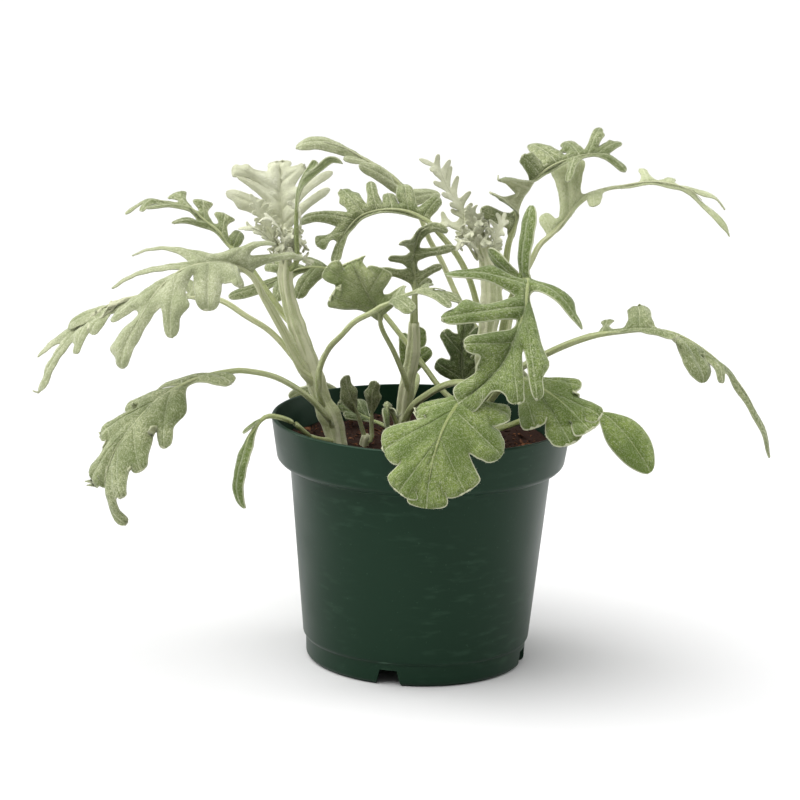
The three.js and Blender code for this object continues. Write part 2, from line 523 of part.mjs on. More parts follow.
function widthAt(outline, part) {
  const index = outline.findIndex(([at]) => at >= part);
  const [at, width] = outline[index];
  if (index === 0) return width;
  const [before, from] = outline[index - 1];
  return from + (width - from) * (part - before) / (at - before);
}

// Rows across half a lobe from its neck to its tip: the point on its vein and the point on its edge.
function lobeRows(lobe, outline, outward, sinus, frameAt) {
  let normal = frameAt(lobe.place).up;
  let shift = null;
  return lobe.parts.map((part) => {
    const width = widthAt(outline, part);
    const along = lobe.neck + (1 - lobe.neck) * part;
    const centre = lobe.vein(along);
    const heading = lobe.heading(along);
    normal = carried(normal, heading);
    const out = new THREE.Vector3().crossVectors(normal, heading).multiplyScalar(outward);
    const edge = centre.clone().addScaledVector(out, width * lobe.halfWidth);
    shift ??= sinus.clone().sub(edge);
    edge.addScaledVector(shift, (1 - part) ** 5);
    return [centre, edge];
  });
}

// The blade as one thin sheet of triangles, its two halves sharing the midrib.
function bladeSheet(leaf) {
  const frameAt = midribFrame(leaf);
  const length = routeThrough(leaf.spine).getLength();
  const [endPlace, endWidth, endEdge, endWeb] = leaf.end;
  const rows = leaf.lobes ?? pairedLobes(leaf, frameAt);
  const lobes = rows.map(([place, x, y, z, width, edge, arch, web, tipWeb]) => {
    const { point, left } = frameAt(place);
    const tip = vector([x, y, z]);
    const curve = veinCurve(place, tip, arch ?? LOBE_ARCH, frameAt);
    return {
      place, web: web ?? leaf.web, tipWeb: tipWeb ?? web ?? leaf.web, halfWidth: width / 2,
      ...outlinesOf(edge),
      side: Math.sign(tip.clone().sub(point).dot(left)),
      vein: (t) => curve.getPoint(t), heading: (t) => curve.getTangent(t), length: point.distanceTo(tip),
    };
  });
  const midribPart = (t) => Math.min(endPlace + (1 - endPlace) * t, 1);
  const end = {
    place: endPlace, web: endWeb ?? leaf.web, halfWidth: endWidth / 2, ...outlinesOf(endEdge),
    length: (1 - endPlace) * length,
    vein: (t) => frameAt(midribPart(t)).point, heading: (t) => frameAt(midribPart(t)).along,
  };
  const neckOf = (lobe, web) => THREE.MathUtils.clamp(web / lobe.length, NECK_LOW, NECK_HIGH);
  for (const lobe of [...lobes, end]) {
    lobe.neck = neckOf(lobe, Math.max(lobe.web, lobe.tipWeb ?? 0));
    lobe.foot = (lobe.halfWidth + FOOT_MARGIN) / length;
  }

  const wing = (place, side) => {
    const { point, left } = frameAt(place);
    const opening = Math.min((place - leaf.start) * length / WING_RUN, 1);
    return point.addScaledVector(left, side * (0.3 + (WING - 0.3) * opening));
  };
  const places = new Set([leaf.start, endPlace]);
  for (let place = leaf.start; place < endPlace; place += WING_STEP / length) places.add(place);
  const halves = [1, -1].map((side) => {
    const own = lobes.filter((lobe) => lobe.side === side).sort((a, b) => a.place - b.place);
    own.push(end);
    const gaps = own.map((lobe, i) => {
      const before = i ? own[i - 1] : { place: leaf.start, foot: 0 };
      const feet = lobe.foot + before.foot;
      const web = (lobe.web + (before.tipWeb ?? lobe.web)) / 2;
      if (lobe.place - before.place > feet + web / length) {
        const from = before.place + before.foot;
        const to = lobe.place - lobe.foot;
        return { from, to, fromSinus: wing(from, side), toSinus: wing(to, side) };
      }
      const joint = before.place + (lobe.place - before.place) * before.foot / feet;
      const inner = i ? before.vein(neckOf(before, before.tipWeb)) : frameAt(joint).point;
      const sinus = inner.add(lobe.vein(neckOf(lobe, lobe.web))).multiplyScalar(0.5);
      return { from: joint, to: joint, fromSinus: sinus, toSinus: sinus };
    });
    for (const lobe of own) places.add(lobe.place);
    for (const { from, to } of gaps) places.add(from).add(to);
    return { side, own, gaps };
  });
  const midrib = [...places].sort((a, b) => a - b);
  const within = (low, high) => midrib.filter((place) => place >= low && place <= high);

  const triangles = [];
  const fan = (apex, ring, flip) => {
    for (let k = 0; k + 1 < ring.length; k += 1) {
      triangles.push({ flip, corners: [apex, ring[k], ring[k + 1]] });
    }
  };
  for (const { side, own, gaps } of halves) {
    for (const { from, to } of gaps) {
      const run = within(from, to);
      for (let k = 0; k + 1 < run.length; k += 1) {
        const ring = [frameAt(run[k + 1]).point, wing(run[k + 1], side), wing(run[k], side)];
        fan(frameAt(run[k]).point, ring, side < 0);
      }
    }
    own.forEach((lobe, i) => {
      for (const tipward of lobe === end ? [false] : [false, true]) {
        const joint = tipward ? gaps[i + 1].from : gaps[i].to;
        const sinus = tipward ? gaps[i + 1].fromSinus : gaps[i].toSinus;
        const outward = lobe !== end && tipward ? -side : side;
        const flip = (side > 0) !== tipward;
        const outline = lobe.outlines[tipward || (lobe === end && side < 0) ? 1 : 0];
        const grid = lobeRows(lobe, outline, outward, sinus, frameAt);
        const foot = tipward ? within(lobe.place, joint) : within(joint, lobe.place).reverse();
        fan(grid[0][0], [...foot.map((place) => frameAt(place).point), sinus], flip);
        for (let k = 0; k + 1 < grid.length; k += 1) {
          const ring = k + 2 < grid.length ? [grid[k][1], grid[k + 1][1], grid[k + 1][0]]
            : [grid[k][1], grid[k + 1][0]];
          fan(grid[k][0], ring, flip);
        }
      }
    });
  }
  return triangles;
}

// The sheet made solid: the same triangles on both faces, and a rim around the outline.
function slab(triangles, thickness) {
  const corners = [];
  const keys = new Map();
  const faces = [];
  const indexOf = (point) => {
    const key = point.toArray().map((v) => Math.round(v * 50)).join(" ");
    if (!keys.has(key)) {
      keys.set(key, corners.length);
      corners.push({ point: point.clone(), normal: new THREE.Vector3() });
    }
    return keys.get(key);
  };
  for (const { flip, corners: ring } of triangles) {
    const face = ring.map(indexOf);
    if (flip) face.reverse();
    if (new Set(face).size === 3) faces.push(face);
  }
  const edges = new Map();
  for (const [a, b, c] of faces) {
    const across = corners[b].point.clone().sub(corners[a].point)
      .cross(corners[c].point.clone().sub(corners[a].point));
    for (const index of [a, b, c]) corners[index].normal.add(across);
    for (const [from, to] of [[a, b], [b, c], [c, a]]) {
      if (!edges.delete(`${to} ${from}`)) edges.set(`${from} ${to}`, [from, to]);
    }
  }
  const positions = [];
  for (const side of [0.5, -0.5]) {
    for (const { point, normal } of corners) {
      const lifted = point.clone().addScaledVector(normal.clone().normalize(), side * thickness);
      positions.push(...lifted.toArray());
    }
  }
  const under = corners.length;
  const indices = [];
  for (const [a, b, c] of faces) indices.push(a, b, c, under + a, under + c, under + b);
  for (const [a, b] of edges.values()) indices.push(a, under + a, under + b, a, under + b, b);
  const geometry = new THREE.BufferGeometry();
  geometry.setAttribute("position", new THREE.Float32BufferAttribute(positions, 3));
  geometry.setIndex(indices);
  return solidOf(geometry);
}

// The blade with its stalk, which runs a little way on under the blade and thins out there.
function leafSolid(leaf) {
  const curve = routeThrough(leaf.root ? [leaf.root, ...leaf.spine] : leaf.spine);
  const bladePart = routeThrough(leaf.spine).getLength() * (1 - leaf.start) / curve.getLength();
  const bladeStart = 1 - bladePart;
  const stalkEnd = bladeStart + bladePart * STALK_RUN_OUT;
  const [atBase, atBlade] = leaf.stalk;
  const steps = Math.max(3, Math.round(curve.getLength() * stalkEnd / STALK_STEP));
  const radiusAt = (place) => {
    const part = Math.min(place / bladeStart, 1);
    const past = Math.max(0, (place - bladeStart) / (stalkEnd - bladeStart));
    return (atBase + (atBlade - atBase) * part) * (1 - STALK_THINNING * past);
  };
  const stalk = tube(curve, 0, stalkEnd, radiusAt, STALK_SIDES, steps);
  return slab(bladeSheet(leaf), BLADE_THICK).add(stalk);
}

function stemTube(stem, extra) {
  const [x, y, z] = stem.points[0];
  const curve = routeThrough([[x, y, z - ROOT_DEPTH - extra], ...stem.points]);
  const radii = [stem.radii[0] * 0.7, ...stem.radii];
  const radiusAt = (place) => {
    const scaled = curve.getUtoTmapping(place) * (radii.length - 1);
    const index = Math.min(Math.floor(scaled), radii.length - 2);
    return radii[index] + (radii[index + 1] - radii[index]) * (scaled - index) + extra;
  };
  return tube(curve, 0, 1, radiusAt, STEM_SIDES, 2 * stem.points.length);
}

// A stem with the small young leaves of its growing tip grown out of it.
function stemSolid(stem) {
  let solid = stemTube(stem, 0);
  for (const young of stem.young) {
    solid = solid.add(leafSolid({ ...YOUNG, ...young }));
  }
  return solid;
}

function lathe(profile, segments) {
  const points = profile.map(([r, z]) => new THREE.Vector2(r, z));
  const geometry = new THREE.LatheGeometry(points, segments);
  geometry.rotateX(Math.PI / 2);
  return solidOf(geometry);
}

// One drain notch: a wedge across the foot of the wall, narrow side up.
function notchCutter(index) {
  const outline = new THREE.Shape([
    new THREE.Vector2(-NOTCH.bottom / 2, -1),
    new THREE.Vector2(NOTCH.bottom / 2, -1),
    new THREE.Vector2(NOTCH.top / 2, NOTCH.height),
    new THREE.Vector2(-NOTCH.top / 2, NOTCH.height),
  ]);
  const geometry = new THREE.ExtrudeGeometry(outline, { depth: 2 * NOTCH.reach, bevelEnabled: false });
  geometry.rotateX(Math.PI / 2);
  geometry.translate(0, -(FOOT_RADIUS - NOTCH.reach), 0);
  geometry.rotateZ(THREE.MathUtils.degToRad(NOTCH.turn + index * 360 / NOTCH.count));
  return solidOf(geometry);
}

function potSolid() {
  const bandLow = POT_HEIGHT - BAND_HEIGHT;
  const { inner, outer, height } = CHANNEL;
  let pot = lathe([
    [0, 0], [inner, 0], [inner + 1, height], [outer, height], [outer, 0],
    [FOOT_RADIUS - FOOT_ROUND, 0], [FOOT_RADIUS, FOOT_ROUND], [FOOT_TOP_RADIUS, FOOT_HEIGHT],
    [WALL_LOW_RADIUS, FOOT_HEIGHT + FOOT_STEP], [BODY_TOP_RADIUS, bandLow - 1],
    [BAND_LOW_RADIUS - BAND_STEP, bandLow], [BAND_LOW_RADIUS, bandLow + BAND_STEP],
    [RIM_RADIUS, POT_HEIGHT - RIM_ROUND], [RIM_RADIUS - RIM_ROUND, POT_HEIGHT],
    [RIM_RADIUS - WALL, POT_HEIGHT], [BAND_LOW_RADIUS - WALL, bandLow + BAND_STEP + 1],
    [BODY_TOP_RADIUS - WALL, bandLow - 1], [WALL_LOW_RADIUS - WALL, FLOOR_TOP + FLOOR_CORNER],
    [FOOT_TOP_RADIUS - WALL, FLOOR_TOP], [0, FLOOR_TOP],
  ], POT_SEGMENTS);
  for (let i = 0; i < NOTCH.count; i += 1) pot = pot.subtract(notchCutter(i));
  return pot;
}

function soilSolid(holes) {
  const bandLow = POT_HEIGHT - BAND_HEIGHT;
  const slope = (RIM_RADIUS - BAND_LOW_RADIUS) / BAND_HEIGHT;
  const topRadius = BAND_LOW_RADIUS + slope * (SOIL_TOP - bandLow) - WALL - 3 * FIT_GAP;
  const profile = [
    [0, FLOOR_TOP + FIT_GAP], [FOOT_TOP_RADIUS - WALL - 3 * FIT_GAP, FLOOR_TOP + FIT_GAP],
    [WALL_LOW_RADIUS - WALL - 2 * FIT_GAP, FLOOR_TOP + FLOOR_CORNER + FIT_GAP],
    [BODY_TOP_RADIUS - WALL - 2 * FIT_GAP, bandLow - 1],
    [BAND_LOW_RADIUS - WALL - 3 * FIT_GAP, bandLow + 3],
    [topRadius, SOIL_TOP - 1], [topRadius * 0.7, SOIL_TOP], [topRadius * 0.38, SOIL_TOP], [0, SOIL_TOP],
  ];
  const points = profile.map(([r, z]) => new THREE.Vector2(r, z));
  const geometry = new THREE.LatheGeometry(points, SOIL_SEGMENTS);
  geometry.rotateX(Math.PI / 2);
  const position = geometry.attributes.position;
  for (let i = 0; i < position.count; i += 1) {
    const x = position.getX(i);
    const y = position.getY(i);
    const z = position.getZ(i);
    const hump = SOIL_HUMP * Math.sin(0.17 * x + 0.9) * Math.cos(0.21 * y);
    if (z > SOIL_TOP - 0.5) position.setZ(i, z + hump);
  }
  let soil = solidOf(geometry);
  for (const hole of holes) soil = soil.subtract(hole);
  return soil;
}

const group = new THREE.Group();

function place(name, solid, colour, roughness) {
  const material = new THREE.MeshStandardMaterial({ color: COLOURS[colour], roughness, metalness: 0 });
  const mesh = new THREE.Mesh(geometryOf(solid), material);
  mesh.name = name;
  group.add(mesh);
}

const stemClearances = STEMS.map((stem) => stemTube(stem, JOINT_GAP));
place("pot", potSolid(), "pot", 0.55);
const soil = soilSolid(stemClearances);
place("soil", soil, "soil", 0.95);
for (const stem of STEMS) place(stem.name, stemSolid(stem), "stem", 0.85);
for (const leaf of LEAVES) {
  let solid = leafSolid(leaf);
  for (const clearance of stemClearances) solid = solid.subtract(clearance);
  place(leaf.name, biggestPiece(solid), leaf.shade, 0.9);
}

export default group;
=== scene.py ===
# Dusty miller in its nursery pot: felted lobed leaves on three stems and a shoot, in bark and peat.
# The plant's own sizes are in millimetres in the row frame, and meshes are made in metres.
import json
import math
from dataclasses import dataclass

import bmesh
import bpy
import numpy as np
from bpy.props import FloatProperty, FloatVectorProperty, IntProperty, PointerProperty
from mathutils import Matrix, Vector
from mathutils.kdtree import KDTree

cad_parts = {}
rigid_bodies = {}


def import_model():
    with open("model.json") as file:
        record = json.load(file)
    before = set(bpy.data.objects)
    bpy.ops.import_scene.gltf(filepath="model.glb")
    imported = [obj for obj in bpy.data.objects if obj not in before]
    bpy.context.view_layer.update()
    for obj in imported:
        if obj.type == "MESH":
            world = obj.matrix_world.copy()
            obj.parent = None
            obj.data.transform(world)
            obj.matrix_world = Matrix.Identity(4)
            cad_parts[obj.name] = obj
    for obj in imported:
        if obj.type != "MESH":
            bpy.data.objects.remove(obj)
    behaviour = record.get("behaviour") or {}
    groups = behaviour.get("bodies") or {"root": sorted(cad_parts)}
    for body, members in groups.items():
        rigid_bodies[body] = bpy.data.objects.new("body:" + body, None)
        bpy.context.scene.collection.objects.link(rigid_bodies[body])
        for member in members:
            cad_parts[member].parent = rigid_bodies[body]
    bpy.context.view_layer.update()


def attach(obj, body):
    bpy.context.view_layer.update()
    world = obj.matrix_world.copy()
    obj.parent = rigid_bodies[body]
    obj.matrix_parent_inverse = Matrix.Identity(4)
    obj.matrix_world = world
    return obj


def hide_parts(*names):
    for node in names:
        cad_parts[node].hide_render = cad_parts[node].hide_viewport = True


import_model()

bl_info = {
    "name": "Potted Dusty Miller",
    "version": (1, 0, 0),
    "blender": (4, 5, 0),
    "location": "View3D > Sidebar > Dusty Miller",
    "description": "Builds a potted dusty miller with felted leaves, soil and nursery pot",
    "category": "Add Mesh",
}

MM = 0.001
BODY = "root"

# Pot, as moulded, in millimetres and degrees.
POT_HEIGHT = 94
RIM_RADIUS = 57
BAND_HEIGHT = 17.5
BAND_LOW_RADIUS = 54.6
BODY_TOP_RADIUS = 49.6
WALL_LOW_RADIUS = 43.3
FOOT_HEIGHT = 8.2
FOOT_TOP_RADIUS = 42.2
FOOT_RADIUS = 42
FOOT_ROUND = 1.3
FOOT_STEP = 1.2
BAND_STEP = 1.6
RIM_ROUND = 0.5
WALL = 1.4
FLOOR_TOP = 8.4
FLOOR_CORNER = 2
CHANNEL_INNER = 12
CHANNEL_OUTER = 39.4
CHANNEL_HEIGHT = 6.8
NOTCH_COUNT = 4
NOTCH_TURN = -14
NOTCH_TOP = 6.5
NOTCH_BOTTOM = 10.4
NOTCH_HEIGHT = 6
NOTCH_REACH = 6
POT_SEGMENTS = 160
CORNER_STEPS = 5
CREASE_ANGLE = 28

# Soil, its gaps to the pot, and the sizes of the bark chips and crumbs, in millimetres.
SOIL_TOP = 82
SOIL_HUMP = 1.2
SOIL_GAP = 0.3
SOIL_BODY_GAP = 0.6
SOIL_STEP_GAP = 0.9
SOIL_RINGS = 52
SOIL_SEGMENTS = 170
CHIP_SIZES = [(5.5, 2.4, 1.1), (4.2, 3.0, 1.3), (7.5, 1.8, 1.0), (3.4, 2.6, 1.6), (6.2, 3.4, 0.9)]
CRUMB_SIZES = [(1.1, 0.8, 0.6), (0.8, 0.7, 0.6), (1.6, 0.6, 0.5)]
CRUMB_COPIES = 5
CHIP_SEED = 35
CRUMB_SEED = 66

# The camera and the studio, in metres and degrees.
CAMERA_PLACE = (-0.00845, -1.15, 0.364)
CAMERA_DROP = 12.92
CAMERA_ROLL = 1.58
FLOOR_HALF_WIDTH = 16.0
SKY_STRENGTH = 0.32
OVERHEAD_SOURCE = (-0.35, -0.12, 1)
OVERHEAD_STRENGTH = 4.1
OVERHEAD_ANGLE = 75
SOFTBOX_PLACE = (1.0, 0.35, 0.5)
SOFTBOX_AIM = 0.08
SOFTBOX_SIZE = 0.7
SOFTBOX_POWER = 5

# Blades and stalks, in millimetres or as parts of a length.
FOOT_MARGIN = 1.5
WING = 1.1
WING_RUN = 8
LOBE_ARCH = 0.16
LOBE_LEAN = 0.06
NECK_LOW = 0.08
NECK_HIGH = 0.86
SINUS_BLEND = 5
SCALLOP = 4.6
SCALLOP_DEPTH = 0.1
COLUMN_SPREAD = 1.3
WEB_SPREAD = 1.2
STALK_STEP = 2.0
STALK_GROOVE = 0.35
RIB_RUN = 0.8
RIB_THINNING = 0.85
EASING_ROUNDS = 3
EASING = 0.5
WAVE_LENGTHS = (21, 13, 9, 6)
YOUNG_THICKNESS = 0.45
YOUNG_RELIEF = 0.3
BUD_RELIEF = 0.2
ROUTE_STEPS = 24

# A blade's relief: how far each form reaches from the margin or a vein, in millimetres, and how
# high it stands as a part of the leaf's own relief.
MARGIN_RUN = 1.6
MARGIN_WAVE_RUN = 2.2
PUFF_RUN = 1.5
GROOVE_RUN = 0.5
RIDGE_RUN = 0.55
PUFF = 0.7
WAVE = 0.4
MARGIN_WAVE = 0.5
MARGIN_DROOP = 0.75
GROOVE = 0.22
RIDGE = 0.45

# The bead that rounds a blade's margin, as a part of half its thickness.
BEAD = 0.9

# Stems, in millimetres, with how much they swell where a leaf grows.
ROOT_DEPTH = 16
STEM_SIDES = 40
STEM_STEP = 1.5
SWELLING = 0.1
SWELLING_RUN = 3.0
SWELLING_REACH = 4

# A distance from the blade's margin or veins that is out of their reach, in millimetres.
FAR = 9.0

# A lobe's half width from its neck (0) to its tip (1), as parts of its full half width.
EDGES = {
    "finger": [[0.25, 0.85], [0.86, 0.8], [1, 0]],
    "blunt": [[0.5, 1], [0.88, 0.7], [1, 0]],
    "broad": [[0.35, 0.97], [0.75, 0.72], [1, 0]],
    "toothed": [[0.25, 0.85], [0.52, 1.15], [0.66, 0.66], [0.9, 0.6], [1, 0]],
    "forked": [[0.3, 0.3], [0.82, 1], [0.92, 0.5], [1, 0]],
    "horned": [[0.45, 0.95], [0.64, 2.1], [0.72, 1.1], [0.92, 0.7], [1, 0]],
    "spurred": [[0.12, 0.5], [0.42, 2.3], [0.52, 1.1], [0.85, 0.9], [1, 0]],
    "winged": [[0.25, 1.6], [0.53, 2.2], [0.6, 1], [0.92, 0.8], [1, 0]],
    "shouldered": [[0.22, 2.7], [0.36, 1.15], [0.85, 0.9], [1, 0]],
    "flagged": [[0.5, 1.25], [0.67, 1.35], [0.74, 0.45], [0.9, 0.35], [1, 0]],
    "hooked": [[0.4, 1.3], [0.62, 1.6], [0.73, 0.75], [0.9, 0.6], [1, 0]],
    "tailed": [[0.5, 0.8], [0.8, 1.3], [0.86, 0.5], [1, 0]],
    "slim": [[0.3, 0.6], [0.88, 0.5], [1, 0]],
    "squared": [[0.2, 0.55], [0.6, 0.8], [0.92, 1], [1, 0]],
    "taper": [[0.4, 0.9], [1, 0]],
    "oval": [[0.12, 0.6], [0.35, 1], [0.65, 0.95], [0.9, 0.5], [1, 0]],
}

# Stems: the route from the soil up, the stem's radius at each point, and its young leaves.
STEMS = [
    dict(
        name="stem_left",
        points=[[-32, -2, 82], [-34, -1, 91], [-38, 0, 99], [-42, 1, 111], [-47, 2, 124], [-51, 4, 135],
            [-53, 6, 144], [-53, 7, 151], [-52, 8, 157]],
        radii=[3.4, 3.6, 3.4, 3.2, 3.0, 2.8, 2.5, 2.1, 1.2],
        young=[
            dict(
                spine=[[-53, 7, 148], [-57, 9, 158], [-62, 10, 166], [-67, 11, 176]],
                face=[0.5, -1, 0.4], pairs=4, reach=6,
            ),
            dict(
                spine=[[-53, 7, 150], [-55, 4, 162], [-60, 2, 168], [-63, 4, 166]],
                face=[0.4, 0.3, -1], pairs=2, reach=4,
            ),
            dict(
                spine=[[-53, 6, 148], [-59, 3, 160], [-66, 0, 165], [-71, 2, 164]],
                face=[0.5, -0.6, 1], pairs=2, reach=4,
            ),
            dict(
                spine=[[-52, 8, 152], [-48, 10, 165], [-50, 8, 172], [-53, 5, 174]],
                face=[-1, 0, 0.4], pairs=1, reach=4,
            ),
        ],
    ),
    dict(
        name="stem_middle",
        points=[[-8, 15, 82], [-7, 15, 93], [-6, 14, 103], [-4, 13, 117], [-4, 12, 128]],
        radii=[2.4, 2.5, 2.6, 2.6, 1.8],
        young=[],
    ),
    dict(
        name="stem_right",
        points=[[22, 10, 82], [23, 11, 99], [24, 11, 114], [24, 10, 126], [25, 10, 138], [24, 11, 149],
            [21, 12, 158], [19, 13, 163]],
        radii=[2.6, 3.2, 3.4, 3.4, 4.0, 3.4, 2.4, 1.2],
        young=[
            dict(
                spine=[[22, 12, 155], [15, 15, 167], [11, 16, 174], [7, 17, 180], [4, 18, 186],
                    [-4, 18, 190]],
                face=[0.7, -1, 0.3], pairs=4, reach=8,
            ),
            dict(
                spine=[[22, 12, 152], [19, 11, 164], [17, 10, 171], [15, 6, 174]],
                face=[0.3, -1, 0.2], pairs=2, reach=5,
            ),
            dict(
                spine=[[24, 11, 148], [26, 8, 162], [28, 7, 168], [29, 9, 172]],
                face=[-0.6, -1, 0.2], pairs=2, reach=6,
            ),
            dict(
                spine=[[23, 12, 150], [15, 18, 162], [8, 21, 165], [1, 22, 163]],
                face=[0, -0.5, 1], pairs=1, reach=7,
            ),
            dict(
                spine=[[23, 11, 150], [17, 6, 160], [13, 3, 162], [11, 1, 158]],
                face=[0, -0.5, 1], pairs=1, reach=3,
            ),
        ],
    ),
    dict(
        name="stem_shoot",
        points=[[-22, 2, 80], [-21, 1, 86]],
        radii=[1.6, 1.4],
        young=[],
    ),
]

# What the young leaves of a growing tip have in common.
YOUNG = dict(stalk=[0.8, 0.6], start=0.3, web=1.2, end=[0.86, 2.2, "taper"], edge="taper")

